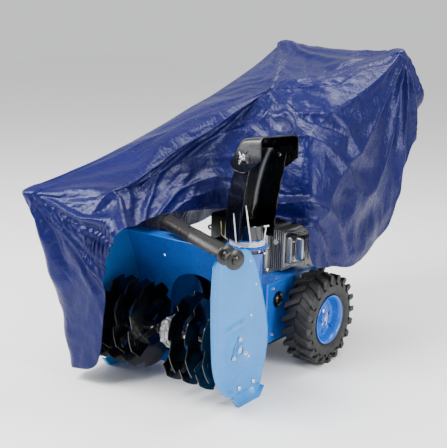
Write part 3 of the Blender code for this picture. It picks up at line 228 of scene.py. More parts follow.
def nylon(name):
    """Thin coated nylon: fine weave, small creases, soft shine."""
    n = Nodes(name)
    tone = n.spread(n.noise(5.0, 4.0), 0.3, 0.7)
    colour = n.mix(tone, lighter(COVER_BLUE, 0.85), lighter(COVER_BLUE, 1.2))
    broad = n.noise(16.0, 5.0, 0.6, (1.0, 1.6, 1.0))
    crease_a = n.math("ABSOLUTE", n.math("SUBTRACT", broad, 0.5), 0)
    crease_b = n.math("ABSOLUTE", n.math("SUBTRACT", n.noise(34.0, 4.0, 0.6), 0.5), 0)
    creases = n.math("ADD", n.spread(crease_a, 0.0, 0.12), n.math("MULTIPLY", crease_b, 1.2))
    soft = n.bump(creases, 0.3, 0.003)
    weave = n.noise(1500.0, 1.0, 0.5)
    normal = n.bump(weave, 0.12, 0.0003, soft)
    gloss = n.spread(n.noise(60.0, 4.0), 0.3, 0.7, 0.24, 0.34)
    return n.set(Base_Color=colour, Roughness=gloss, Normal=normal, Specular_IOR_Level=0.36,
                 Specular_Tint=(0.62, 0.66, 1.0, 1.0))


MAT = {
    "blue": enamel("blue_enamel", BLUE),
    "light_blue": enamel("light_blue_enamel", LIGHT_BLUE, 0.3, 0.12, 0.05),
    "black_paint": gloss_black("black_paint", 0.2),
    "gloss_black": gloss_black("gloss_black"),
    "cast": cast_metal("cast_aluminium"),
    "steel": metal("drawn_steel", STEEL, 0.34, 180.0),
    "zinc": metal("zinc_plate", (0.72, 0.73, 0.74), 0.24, 90.0, 0.05, 0.12),
    "chrome": metal("chrome_plate", (0.85, 0.85, 0.86), 0.09, 60.0, 0.02, 0.06),
    "guard": metal("heat_stained_steel", (0.16, 0.155, 0.15), 0.34, 80.0, 0.08, 0.45, (1.0, 4.0, 1.0)),
    "plastic": grained("black_plastic", (0.006, 0.006, 0.0065)),
    "tool": grained("brown_black_plastic", (0.006, 0.0048, 0.004), 0.3, 700.0, 1.5),
    "white": grained("white_nylon", WHITE, 0.4, 1200.0, 1.05),
    "yellow": grained("yellow_card", (0.72, 0.58, 0.12), 0.55, 900.0, 1.05),
    "rubber": rubber("tyre_rubber"),
    "grip": rubber("grip_rubber", (0.013, 0.013, 0.014), 0.58),
    "nylon": nylon("coated_nylon"),
    "hem": grained("hem_tape", (0.02, 0.028, 0.17), 0.55, 1400.0, 1.2),
}

# The CAD nodes that are shown as smoothed copies of themselves, by material.
SMOOTHED = {
    "blue": "auger_housing scraper_bar impeller_drum frame_box",
    "light_blue": "skid_shoe_left skid_shoe_right",
    "steel": "auger_shaft impeller_shaft axle muffler speed_lever chute_crank",
    "black_paint": (
        "impeller frame_bottom_plate drive_shaft handlebar_brace handlebar_left handlebar_right "
        "auger_lever drive_lever chute_collar"
    ),
    "cast": "engine_crankcase engine_cylinder",
    "plastic": (
        "recoil_cover recoil_handle fuel_tank fuel_cap carburettor_cover choke_knob ignition_key "
        "belt_cover control_panel auger_cable drive_cable"
    ),
    "grip": "primer_bulb",
    "guard": "muffler_guard",
    "chrome": "hub_pin_left hub_pin_right",
}
BODIES = frame["record"]["behaviour"]["bodies"]
NODE_BODY = {node: body for body, nodes in BODIES.items() for node in nodes}


# Mesh helpers


def finish_piece(obj, material, body, replaced=(), angle=35.0):
    """Gives a new object its material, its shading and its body."""
    obj.data.materials.clear()
    obj.data.materials.append(MAT[material])
    for face in obj.data.polygons:
        face.use_smooth = True
    if angle < 180:
        obj.data.set_sharp_from_angle(angle=math.radians(angle))
    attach(obj, body)
    if replaced:
        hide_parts(*replaced)
    return obj


def object_from(tool, name, mesh=None):
    """Writes a bmesh to a mesh and places it in the scene as an object."""
    mesh = mesh or bpy.data.meshes.new(name)
    tool.to_mesh(mesh)
    tool.free()
    obj = bpy.data.objects.new(name, mesh)
    bpy.context.scene.collection.objects.link(obj)
    return obj


def mesh_object(name, points, faces, place=ORIGIN):
    mesh = bpy.data.meshes.new(name)
    mesh.from_pydata([tuple(Vector(p) + place) for p in points], [], faces)
    tool = bmesh.new()
    tool.from_mesh(mesh)
    bmesh.ops.remove_doubles(tool, verts=tool.verts, dist=1e-6)
    bmesh.ops.recalc_face_normals(tool, faces=tool.faces)
    return object_from(tool, name, mesh)


def thickened(obj, thickness, offset):
    sheet = obj.modifiers.new("thickness", "SOLIDIFY")
    sheet.thickness = thickness
    sheet.offset = offset
    return obj


class Shape:
    """Points and faces gathered from several simple forms, made into one mesh at the end."""

    def __init__(self):
        self.points = []
        self.faces = []

    def add(self, points, faces):
        start = len(self.points)
        self.points += [Vector(p) for p in points]
        self.faces += [[start + i for i in face] for face in faces]
        return self

    def make(self, name):
        return mesh_object(name, self.points, self.faces)

    def turned(self, profile, at, axis, steps=64, wave=None):
        """A profile of (radius, along) turned round an axis; closed on itself off the axis."""
        along = Vector(axis).normalized()
        side = Vector((0, 0, 1)) if abs(along.z) < 0.9 else Vector((1, 0, 0))
        side = (side - along * side.dot(along)).normalized()
        other = along.cross(side)
        closed = profile[0][0] > 1e-9
        points, rings = [], []
        for radius, distance in profile:
            middle = Vector(at) + along * distance
            if radius < 1e-9:
                rings.append([len(points)] * steps)
                points.append(middle)
                continue
            rings.append(list(range(len(points), len(points) + steps)))
            for k in range(steps):
                turn = 2 * math.pi * k / steps
                reach = radius + (wave(turn, distance) if wave else 0.0)
                points.append(middle + (side * math.cos(turn) + other * math.sin(turn)) * reach)
        faces = []
        pairs = list(zip(rings, rings[1:]))
        if closed:
            pairs.append((rings[-1], rings[0]))
        for low, high in pairs:
            for k in range(steps):
                j = (k + 1) % steps
                corners = [low[k], low[j], high[j], high[k]]
                kept = [c for i, c in enumerate(corners) if c not in corners[:i]]
                if len(kept) > 2:
                    faces.append(kept)
        return self.add(points, faces)

    def swept(self, path, section, up=(0, 0, 1)):
        """A closed section of (sideways, upwards) points, or one for each point of the path."""
        path = [Vector(p) for p in path]
        points, faces = [], []
        sections = section if isinstance(section[0], list) else [section] * len(path)
        for i, here in enumerate(path):
            ahead = path[min(i + 1, len(path) - 1)] - path[max(i - 1, 0)]
            ahead.normalize()
            across = ahead.cross(Vector(up)).normalized()
            above = across.cross(ahead).normalized()
            points += [here + across * a + above * b for a, b in sections[i]]
        count = len(sections[0])
        last = (len(path) - 1) * count
        faces = [list(range(count)), list(range(last, last + count))]
        for i in range(len(path) - 1):
            for k in range(count):
                j = (k + 1) % count
                low = i * count
                faces.append([low + k, low + j, low + count + j, low + count + k])
        return self.add(points, faces)

    def prism(self, outline, axis, low, high):
        first, second, along = {"x": (1, 2, 0), "y": (0, 2, 1), "z": (0, 1, 2)}[axis]
        points = []
        for level in (low, high):
            for a, b in outline:
                point = [0.0, 0.0, 0.0]
                point[first], point[second], point[along] = a, b, level
                points.append(point)
        count = len(outline)
        faces = [list(range(count)), list(range(count, 2 * count))]
        for i in range(count):
            j = (i + 1) % count
            faces.append([i, j, count + j, count + i])
        return self.add(points, faces)

    def bolt(self, at, axis, across=0.011, height=0.005, washer=True):
        """A hexagon head with a chamfer, a washer under it and the end of its thread."""
        along = Vector(axis).normalized()
        radius = across / math.sqrt(3)
        rise = 0.0
        if washer:
            wide = across * 0.68
            self.turned([(0, 0), (wide, 0), (wide, 0.0012), (0, 0.0012)], at, along, 20)
            rise = 0.0012
        low = [(0, rise), (radius, rise), (radius, rise + height * 0.8),
               (radius * 0.86, rise + height), (0, rise + height)]
        self.turned(low, at, along, 6)
        thread = across * 0.27
        return self.turned([(0, rise + height - 0.0005), (thread, rise + height - 0.0005),
                            (thread, rise + height + 0.0018), (0, rise + height + 0.0022)],
                           at, along, 14)


def oval(radius, squash):
    turns = [2 * math.pi * k / 12 for k in range(12)]
    return [(radius * math.cos(t), radius * squash * math.sin(t)) for t in turns]


def rectangle(wide, tall):
    return [(-wide, -tall), (wide, -tall), (wide, tall), (-wide, tall)]


def ring_point(centre, radius, turn):
    """The point at an angle in degrees on a circle, as a pair."""
    turn = math.radians(turn)
    return centre[0] + radius * math.cos(turn), centre[1] + radius * math.sin(turn)


def segment_distance(here, start, end):
    run = end - start
    share = max(0.0, min(1.0, (here - start).dot(run) / max(run.length_squared, 1e-12)))
    return (start + run * share - here).length


def directions(turn):
    """Outward and sideways unit vectors at an angle in degrees about the upright axis."""
    way = math.radians(turn)
    return Vector((math.cos(way), math.sin(way), 0)), Vector((-math.sin(way), math.cos(way), 0))


def bevelled(obj, width=0.0008, segments=2, angle=35.0):
    step = obj.modifiers.new("edges", "BEVEL")
    step.width = width
    step.segments = segments
    step.limit_method = "ANGLE"
    step.angle_limit = math.radians(angle)
    return obj


def spline(points, steps):
    out = []
    last = len(points) - 1
    for i in range(last):
        p0 = Vector(points[max(i - 1, 0)])
        p1 = Vector(points[i])
        p2 = Vector(points[i + 1])
        p3 = Vector(points[min(i + 2, last)])
        for k in range(steps):
            t = k / steps
            a = p1 * 2
            b = (p2 - p0) * t
            c = (p0 * 2 - p1 * 5 + p2 * 4 - p3) * t * t
            d = (p1 * 3 - p0 - p2 * 3 + p3) * t ** 3
            out.append((a + b + c + d) * 0.5)
    out.append(Vector(points[-1]))
    return out


def smoothed_copy(node, material):
    """The node's own mesh with its flat faces joined and its curved ones shaded smooth."""
    source = frame["nodes"][node]
    mesh = source.data.copy()
    tool = bmesh.new()
    tool.from_mesh(mesh)
    tool.transform(source.matrix_world)
    bmesh.ops.remove_doubles(tool, verts=tool.verts, dist=2e-6)
    bmesh.ops.dissolve_limit(tool, angle_limit=math.radians(0.6), verts=tool.verts, edges=tool.edges)
    bmesh.ops.recalc_face_normals(tool, faces=tool.faces)
    obj = object_from(tool, node + "_skin", mesh)
    return finish_piece(obj, material, NODE_BODY[node], (node,), 32.0)


# Housing


def side_line():
    """The side plate's outline in (y, z), from the top of its front edge round the foot and back."""
    line = [(-0.668, 0.503), (-0.674, 0.407), (-0.67, 0.293), (-0.662, 0.194), (-0.649, 0.139)]
    line += [(-0.628, 0.098), (-0.602, 0.068), (-0.576, 0.051), (-0.544, 0.042), (-0.389, 0.042)]
    line += [(-0.372, 0.07), (-0.354, 0.115), (-0.345, 0.169), (-0.345, 0.216), (-0.359, 0.28)]
    line += [(-0.386, 0.359), (-0.42, 0.443), (-0.444, 0.486), (-0.466, 0.512), (-0.492, 0.5235)]
    line += [(-0.556, 0.5235), (-0.64, 0.515)]
    return line


def build_side_skin(name, side):
    """Pressed side plate: rolled front edge, stiffening rib, round boss and a step at the shoe."""
    rolled = spline([(y, z, 0) for y, z in side_line()[:9]], 4)
    rest = [Vector((y, z, 0)) for y, z in side_line()[9:]]
    outline = [(p.x, p.y) for p in rolled + rest]
    face = side * HOUSING_HALF
    tool = bmesh.new()
    step = 0.0065
    low_y, high_y, low_z, high_z = -0.676, -0.344, 0.04, 0.525
    columns = int((high_y - low_y) / step) + 1
    lines = int((high_z - low_z) / step) + 1
    edge_points = [Vector((a, b)) for a, b in outline]

    def inside(a, b):
        hit = False
        for i, p in enumerate(edge_points):
            q = edge_points[i - 1]
            if (p.y > b) != (q.y > b):
                if a < (q.x - p.x) * (b - p.y) / (q.y - p.y) + p.x:
                    hit = not hit
        return hit

    def edge_distance(a, b):
        here = Vector((a, b))
        return min([1.0] + [segment_distance(here, edge_points[i - 1], p) for i, p in enumerate(edge_points)])

    def front_distance(a, b):
        here = Vector((a, b, 0))
        return min([1.0] + [segment_distance(here, p, q) for p, q in zip(rolled, rolled[1:])])

    def height(a, b):
        out = 0.0
        front = front_distance(a, b)
        out += 0.0075 * max(0.0, 1.0 - (front / 0.02) ** 2) if front < 0.02 else 0.0
        out += 0.0016 * math.exp(-((front - 0.045) / 0.004) ** 2)
        boss = (Vector((a, b)) - Vector((AUGER_Y, AUGER_Z))).length
        out += 0.0035 / (1 + math.exp((boss - 0.066) / 0.0035))
        along = (a + 0.6) / 0.13
        if 0.0 < along < 1.0:
            middle = 0.27 + 0.015 * along
            ends = min(1, 6 * along, 6 * (1 - along))
            out += 0.0048 * math.exp(-((b - middle) / 0.006) ** 2) * ends
        arch = math.hypot((a + 0.466) / 1.25, b - 0.036)
        out += 0.005 / (1 + math.exp((arch - 0.078) / 0.003))
        return out

    grid = {}
    for i in range(columns + 1):
        for k in range(lines + 1):
            a = low_y + i * step
            b = low_z + k * step
            if inside(a, b) and edge_distance(a, b) > step * 0.45:
                grid[i, k] = (a, b)
    rim = []
    for i, p in enumerate(edge_points):
        q = edge_points[(i + 1) % len(edge_points)]
        pieces = max(1, int((q - p).length / step))
        rim += [tuple(p.lerp(q, s / pieces)) for s in range(pieces)]
    flat = list(grid.values()) + rim
    rim_start = len(grid)
    edges = [(rim_start + i, rim_start + (i + 1) % len(rim)) for i in range(len(rim))]
    points, _, faces, _, _, _ = delaunay_2d_cdt([Vector(p) for p in flat], edges, [], 1, 1e-6)
    verts = []
    for p in points:
        verts.append(tool.verts.new(Vector((face + side * height(p.x, p.y), p.x, p.y)) + ORIGIN))
    for f in faces:
        try:
            tool.faces.new([verts[i] for i in f])
        except ValueError:
            continue
    bmesh.ops.recalc_face_normals(tool, faces=tool.faces)
    if sum(f.normal.x for f in tool.faces) * side < 0:
        bmesh.ops.reverse_faces(tool, faces=tool.faces)
    obj = thickened(object_from(tool, name), 0.003, -1.0)
    return finish_piece(obj, "light_blue", "chassis", (name.replace("skin", "plate"),), 50.0)


def build_side_bolts(name, side):
    """Small fixings seen on the plate, with the carriage-bolt heads of the shoe."""
    shape = Shape()
    face = side * (HOUSING_HALF + 0.0002)
    for y, z in ((-0.449, 0.294), (-0.455, 0.155)):
        shape.turned([(0, 0), (0.0062, 0), (0.0056, 0.002), (0.003, 0.0034), (0, 0.0038)],
                     (face + side * 0.0002, y, z), (side, 0, 0), 20)
    for z in (0.486, 0.4):
        y = -0.452 if z > 0.45 else -0.416
        shape.turned([(0, 0), (0.0045, 0), (0.004, 0.0015), (0, 0.0026)],
                     (face, y - 0.01, z - 0.008), (side, 0, 0), 16)
    for y in (-0.514, -0.434):
        shape.turned([(0, 0.0041), (0.0079, 0.0041), (0.0079, 0.0098), (0.0062, 0.0112), (0, 0.0112)],
                     (face, y, 0.062), (side, 0, 0), 24)
    return finish_piece(shape.make(name), "zinc", "chassis")


def build_bearing_skin(name, side):
    """Three-lugged bearing flange in the plate's colour, and its bright bolts."""
    face = side * (HOUSING_HALF + 0.0036)
    shape = Shape()
    bolts = Shape()
    shape.turned([(0.013, 0), (0.03, 0), (0.0315, 0.0012), (0.03, 0.0026), (0.0235, 0.0034),
                  (0.0215, 0.006), (0.0205, 0.0082), (0.013, 0.0085)],
                 (face, AUGER_Y, AUGER_Z), (side, 0, 0), 48)
    hub = (AUGER_Y, AUGER_Z)
    for turn in (90, 210, 330):
        y, z = ring_point(hub, 0.037, turn)
        lug = [ring_point(hub, 0.02, turn - 40), ring_point((y, z), 0.009, turn - 60)]
        lug += [ring_point((y, z), 0.01, turn), ring_point((y, z), 0.009, turn + 60)]
        lug.append(ring_point(hub, 0.02, turn + 40))
        shape.prism(lug, "x", *sorted((face, face + side * 0.0022)))
        bolts.bolt((face + side * 0.0022, y, z), (side, 0, 0), 0.0105, 0.0045)
    finish_piece(bolts.make(name.replace("_skin", "_bolts")), "zinc", "chassis")
    return finish_piece(shape.make(name), "light_blue", "chassis", (name.replace("_skin", ""),))


def build_auger_skin(name, side, phase):
    """Two serrated ribbon flights on arms, wound so that the snow moves to the middle."""
    shape = Shape()
    start, end = side * 0.05, side * 0.252
    steps = 264
    turns = 1.5
    for f in range(2):
        points = []
        for i in range(steps + 1):
            share = i / steps
            turn = phase + math.pi * f + side * 2 * math.pi * turns * share
            x = start + (end - start) * share
            tooth = (share * turns * 8) % 1.0
            outer = AUGER_R - 0.0005 - (0.018 * (1 - tooth / 0.34) ** 0.6 if tooth < 0.34 else 0.0)
            inner = 0.072 + 0.004 * math.sin(turn * 3)
            for dx, radius in ((-0.0016, inner), (-0.0016, outer), (0.0016, outer), (0.0016, inner)):
                points.append((x + dx, AUGER_Y + radius * math.cos(turn), AUGER_Z + radius * math.sin(turn)))
        faces = [[0, 1, 2, 3], [4 * steps, 4 * steps + 1, 4 * steps + 2, 4 * steps + 3]]
        for i in range(steps):
            for k in range(4):
                j = (k + 1) % 4
                faces.append([4 * i + k, 4 * i + j, 4 * i + 4 + j, 4 * i + 4 + k])
        shape.add(points, faces)
    shape.turned([(0.013, 0), (0.0172, 0), (0.0172, 0.217), (0.013, 0.217)],
                 (side * 0.042, AUGER_Y, AUGER_Z), (side, 0, 0), 40)
    for distance in (0.012, 0.108, 0.205):
        shape.turned([(0.0171, distance - 0.006), (0.0195, distance - 0.004),
                      (0.0195, distance + 0.004), (0.0171, distance + 0.006)],
                     (side * 0.042, AUGER_Y, AUGER_Z), (side, 0, 0), 32)
    for share in (0.04, 0.35, 0.66, 0.96):
        turn = phase + side * 2 * math.pi * turns * share
        x = start + (end - start) * share
        for k in range(2):
            way = turn + math.pi * k
            aim = Vector((0, math.cos(way), math.sin(way)))
            middle = Vector((x, AUGER_Y, AUGER_Z))
            path = [middle + aim * 0.015, middle + aim * 0.06 + Vector((side * 0.003, 0, 0)),
                    middle + aim * 0.128]
            shape.swept(path, rectangle(0.0023, 0.013), up=(0, -aim.z, aim.y))
    obj = bevelled(shape.make(name + "_skin"), 0.0006, 2, 50.0)
    return finish_piece(obj, "gloss_black", "auger", (name,), 40.0)


def build_auger_bolts():
    """Shear bolts through the auger tubes."""
    shape = Shape()
    for side in (-1, 1):
        at = Vector((side * 0.072, AUGER_Y, AUGER_Z))
        shape.bolt(at + Vector((0, -0.0168, 0)), (0, -1, 0), 0.01, 0.0045)
        shape.bolt(at + Vector((0, 0.0168, 0)), (0, 1, 0), 0.01, 0.0055, False)
    return finish_piece(shape.make("shear_bolts"), "zinc", "auger")


def build_gearbox_skin():
    """Ribbed cast halves with their flange bolts, and the worm housing behind them."""
    shape = Shape()
    half = [(0.0129, -0.034), (0.02, -0.034), (0.022, -0.032), (0.0225, -0.026), (0.03, -0.022)]
    half += [(0.044, -0.0185), (0.047, -0.015), (0.048, -0.01), (0.048, -0.0066), (0.052, -0.0062)]
    profile = half + [(r, -x) for r, x in reversed(half)]
    shape.turned(profile, (0, AUGER_Y, AUGER_Z), (1, 0, 0), 56)
    worm = [(0, -0.5565), (0.015, -0.556), (0.018, -0.553), (0.0195, -0.548)]
    worm += [(0.02, -0.47), (0.018, -0.45), (0.0165, -0.43), (0.0165, -0.42)]
    worm += [(0.015, -0.4185), (0, -0.4185)]
    shape.turned(worm, (0, 0, IMPELLER_Z), (0, 1, 0), 36)
    for k in range(7):
        turn = math.radians(20 + 46 * k)
        y = AUGER_Y + 0.0505 * math.cos(turn)
        z = AUGER_Z + 0.0505 * math.sin(turn)
        boss = [(0, -0.0085), (0.0065, -0.0085), (0.0065, 0.0085), (0, 0.0085)]
        shape.turned(boss, (0, y, z), (1, 0, 0), 18)
        shape.bolt((0.0085, y, z), (1, 0, 0), 0.0085, 0.004, False)
    for k in range(6):
        turn = math.radians(60 * k)
        aim = Vector((0, math.cos(turn), math.sin(turn)))
        for side in (-1, 1):
            root = Vector((side * 0.018, AUGER_Y, AUGER_Z)) + aim * 0.024
            tip = Vector((side * 0.0175, AUGER_Y, AUGER_Z)) + aim * 0.044
            shape.swept([root, tip], rectangle(0.0018, 0.004), up=(1, 0, 0))
    obj = bevelled(shape.make("gearbox_skin"), 0.0007, 2, 45.0)
    return finish_piece(obj, "cast", "chassis", ("auger_gearbox",), 40.0)


# Wheels


def build_tyre_skin(name, side):
    """Snow tyre: round carcass, beads, and deep chevron lugs that wrap over the shoulders."""
    at = Vector((side * TRACK_HALF, 0, WHEEL_R))
    shape = Shape()
    half = 0.0535
    profile = [(0.0838, -0.027), (0.086, -0.038), (0.0905, -0.0435), (0.096, -0.048)]
    profile += [(0.104, -0.0515), (0.115, -half), (0.129, -half), (0.14, -0.051)]
    profile += [(0.148, -0.0455), (0.152, -0.037), (0.1545, -0.022), (0.1552, 0.0)]
    profile += [(r, -x) for r, x in reversed(profile[:-1])]
    shape.turned(profile, at, (side, 0, 0), 96)
    for ring in (0.101, 0.121):
        for way in (-1, 1):
            lift = half - 0.0008 if ring > 0.11 else 0.0503
            shape.turned([(ring - 0.0012, way * (lift - 0.001)), (ring, way * (lift + 0.0012)),
                          (ring + 0.0012, way * (lift - 0.001))], at, (side, 0, 0), 96)
    count = 20
    for k in range(count):
        for way in (-1, 1):
            base = 2 * math.pi * (k + (0.5 if way > 0 else 0.0)) / count
            stations = []
            for s in range(9):
                t = s / 8
                across = 0.0015 + (half + 0.0003 - 0.0015) * min(1.0, t * 1.32)
                reach = 0.1648 - 0.0012 * t
                if t > 0.76:
                    reach -= (t - 0.76) / 0.24 * 0.024
                sweep = base - 0.2 * min(1.0, t * 1.25) - 0.03 * max(0, t - 0.8) * 5
                stations.append((across, reach, sweep, 0.0105 - 0.002 * t))
            points = []
            for across, reach, sweep, wide in stations:
                for radius, spread in ((reach - 0.0125, 1.25), (reach, 1.0)):
                    for sign in (-1, 1):
                        turn = sweep + sign * wide * spread / reach
                        spot = (way * across, radius * math.sin(turn), radius * math.cos(turn))
                        points.append(at + Vector(spot))
            faces = [[0, 1, 3, 2], [32, 33, 35, 34]]
            for s in range(8):
                low = 4 * s
                faces += [[low, low + 1, low + 5, low + 4], [low + 2, low + 3, low + 7, low + 6]]
                faces += [[low, low + 2, low + 6, low + 4], [low + 1, low + 3, low + 7, low + 5]]
            shape.add(points, faces)
    obj = bevelled(shape.make(name + "_skin"), 0.0011, 2, 40.0)
    return finish_piece(obj, "rubber", "wheel_set", (name,), 40.0)


def build_rim_skin(name, side):
    """Two pressed halves: flanges, drop centre, dished face with a rolled step, long hub."""
    at = (side * TRACK_HALF, 0, WHEEL_R)
    profile = [(0.0099, -0.06), (0.0165, -0.06), (0.017, -0.058), (0.017, -0.014), (0.03, -0.01)]
    profile += [(0.058, 0.0), (0.069, 0.0), (0.0745, -0.01), (0.077, -0.036), (0.08, -0.046)]
    profile += [(0.087, -0.05), (0.089, -0.0485), (0.0885, -0.045), (0.0832, -0.038)]
    profile += [(0.0825, -0.01), (0.0825, 0.01), (0.0832, 0.038), (0.0885, 0.045)]
    profile += [(0.089, 0.0485), (0.087, 0.05), (0.0835, 0.0482), (0.08, 0.044)]
    profile += [(0.0765, 0.033), (0.0745, 0.018), (0.0715, 0.01), (0.066, 0.0072)]
    profile += [(0.06, 0.0085), (0.054, 0.0075), (0.044, 0.001), (0.033, -0.0045)]
    profile += [(0.027, -0.005), (0.023, -0.002), (0.019, 0.002), (0.018, 0.027)]
    profile += [(0.017, 0.028), (0.0099, 0.028)]
    shape = Shape()
    shape.turned(profile, at, (side, 0, 0), 96)
    for k in range(5):
        turn = 2 * math.pi * k / 5 + 0.3
        spot = Vector(at) + Vector((side * 0.0078, 0.06 * math.sin(turn), 0.06 * math.cos(turn)))
        shape.bolt(spot, (side, 0, 0), 0.01, 0.0045)
    valve = Vector(at) + Vector((side * 0.006, 0.07 * math.sin(2.2), 0.07 * math.cos(2.2)))
    shape.turned([(0, 0), (0.0042, 0), (0.004, 0.012), (0.0034, 0.013), (0.0034, 0.021), (0, 0.022)],
                 valve, (side, 0, 0), 14)
    return finish_piece(shape.make(name + "_skin"), "blue", "wheel_set", (name,), 50.0)


# Chute


def throw(u, v, z):
    """Chute coordinates: u along the throw, v to its left, z up."""
    aim = Vector((math.sin(CHUTE_AIM), -math.cos(CHUTE_AIM), 0))
    left = Vector((math.cos(CHUTE_AIM), math.sin(CHUTE_AIM), 0))
    return Vector((CHUTE_X, CHUTE_Y, 0)) + aim * u + left * v + Vector((0, 0, z))


def channel(back, front, half, corner, lip):
    """Rows of points across a U channel with rolled edges; back and front are lines in (u, z)."""
    back = spline([(u, z, 0) for u, z in back], 5)
    front = spline([(u, z, 0) for u, z in front], 5)
    rows = []
    for b, f in zip(back, front):
        aim = (f - b).normalized()
        left_half = []
        for out, back_off in ((lip, 0.0005), (lip, 0.0), (lip * 0.3, -0.0015)):
            spot = f - aim * (0.003 + back_off)
            left_half.append((spot.x, half + out * 0.6, spot.y))
        for t in (0.8, 0.55, 0.3):
            spot = b.lerp(f, t)
            left_half.append((spot.x, half, spot.y))
        for k in range(9):
            turn = math.pi / 2 * k / 8
            off = corner * (1 - math.sin(turn))
            inward = corner * (1 - math.cos(turn))
            left_half.append((b.x + aim.x * off, half - inward, b.y + aim.y * off))
        row = left_half + [(b.x, 0.02, b.y), (b.x, 0.0, b.y), (b.x, -0.02, b.y)]
        row += [(u, -v, z) for u, v, z in reversed(left_half)]
        rows.append([throw(u, v, z) for u, v, z in row])
    return rows


def sheet_metal(name, rows, body, node):
    """A thin black sheet through rows of points, in place of a node."""
    width = len(rows[0])
    points = [p for row in rows for p in row]
    faces = []
    for i in range(len(rows) - 1):
        for k in range(width - 1):
            here = i * width + k
            faces.append([here, here + 1, here + width + 1, here + width])
    obj = mesh_object(name, points, faces)
    bevelled(thickened(obj, 0.0026, 0.0), 0.0008, 2, 60.0)
    return finish_piece(obj, "gloss_black", body, (node,), 50.0)


def build_chute_skin():
    back = [(-0.048, 0.4865), (-0.048, 0.53), (-0.042, 0.58), (-0.032, 0.64)]
    back += [(-0.014, 0.7), (0.006, 0.748), (0.034, 0.797)]
    front = [(0.056, 0.4865), (0.06, 0.53), (0.066, 0.575), (0.075, 0.63)]
    front += [(0.087, 0.685), (0.099, 0.735), (0.11, 0.79)]
    rows = channel(back, front, 0.0705, 0.026, 0.0)
    return sheet_metal("chute_skin", rows, "chute", "chute_body")


def build_chute_collar():
    """The round black foot inside the chute, closed all round above the turning seat."""
    shape = Shape()
    shape.turned([(0.0562, 0.4868), (0.0598, 0.4868), (0.0604, 0.488), (0.06, 0.533), (0.0612, 0.5345),
                  (0.0606, 0.5362), (0.0575, 0.536), (0.0562, 0.5345)], (CHUTE_X, CHUTE_Y, 0), (0, 0, 1), 72)
    return finish_piece(shape.make("chute_foot_ring"), "gloss_black", "chute", (), 40.0)


def build_deflector_skin():
    back = [(-0.012, 0.752), (0.006, 0.775), (0.0208, 0.797), (0.052, 0.834)]
    back += [(0.108, 0.848), (0.164, 0.857)]
    front = [(0.012, 0.728), (0.042, 0.724), (0.075, 0.728), (0.105, 0.742)]
    front += [(0.14, 0.765), (0.166, 0.782)]
    rows = channel(back, front, 0.0745, 0.012, 0.003)
    return sheet_metal("deflector_skin", rows, "hood", "deflector")


def build_wing_bolt_skin(name, side):
    left = (throw(0, 1, 0) - throw(0, 0, 0)) * side
    at = throw(PIVOT_U, 0, PIVOT_Z)
    shape = Shape()
    shape.turned([(0, 0.0645), (0.0075, 0.0655), (0.008, 0.0685), (0.0041, 0.0687), (0.0041, 0.0764),
                  (0.0105, 0.0765), (0.0105, 0.078), (0.008, 0.0782), (0.0072, 0.0865),
                  (0.0055, 0.088), (0.0036, 0.0882), (0.0036, 0.0915), (0, 0.092)], at, left, 28)
    for k in (-1, 1):
        low = at + left * 0.081 + Vector((0, 0, 0.004 * k))
        middle = at + left * 0.088 + Vector((0, 0, 0.012 * k))
        high = at + left * 0.0935 + Vector((0, 0, 0.021 * k))
        fat = [oval(0.0024, 1.9), oval(0.0026, 2.4), oval(0.0018, 1.6)]
        shape.swept([low, middle, high], fat, up=left)
    return finish_piece(shape.make(name + "_skin"), "chrome", "hood", (name,), 50.0)


def build_base_skin():
    """Turning base: toothed flange and spigot, in the housing's blue."""
    at = (CHUTE_X, CHUTE_Y, 0)
    shape = Shape()
    profile = [(0.053, 0.4675), (0.0566, 0.4675), (0.0566, 0.4537), (0.069, 0.4537), (0.069, 0.4583)]
    profile += [(0.062, 0.4595), (0.0598, 0.4612), (0.0596, 0.479), (0.058, 0.4845)]
    profile += [(0.0545, 0.4858), (0.053, 0.485)]
    shape.turned(profile, at, (0, 0, 1), 72)
    count = 40
    for k in range(count):
        turn = 2 * math.pi * k / count
        aim = Vector((math.cos(turn), math.sin(turn), 0))
        side = Vector((-aim.y, aim.x, 0))
        root = Vector(at) + aim * 0.0685
        tip = Vector(at) + aim * 0.0738
        points = []
        for z in (0.4537, 0.4583):
            for spot, wide in ((root, 0.0034), (tip, 0.0018)):
                points += [spot - side * wide + Vector((0, 0, z)), spot + side * wide + Vector((0, 0, z))]
        sides = [[0, 1, 5, 4], [2, 3, 7, 6], [0, 2, 6, 4], [1, 3, 7, 5]]
        shape.add(points, [[0, 1, 3, 2], [4, 5, 7, 6]] + sides)
    return finish_piece(shape.make("chute_base_skin"), "blue", "chute", ("chute_base",), 40.0)


def build_collar_skin():
    """The black clamp ring's bright bolts and washers."""
    shape = Shape()
    for k in range(6):
        turn = math.pi / 3 * k + 0.35
        spot = (CHUTE_X + 0.0615 * math.cos(turn), CHUTE_Y + 0.0615 * math.sin(turn), 0.4379)
        shape.bolt(spot, (0, 0, -1), 0.01, 0.005)
    for turn in (-70, -20, 30):
        aim, _ = directions(turn)
        shape.bolt(Vector((CHUTE_X, CHUTE_Y, 0.4505)) + aim * 0.0699, aim, 0.008, 0.0035, False)
    return finish_piece(shape.make("collar_bolts"), "zinc", "chassis")


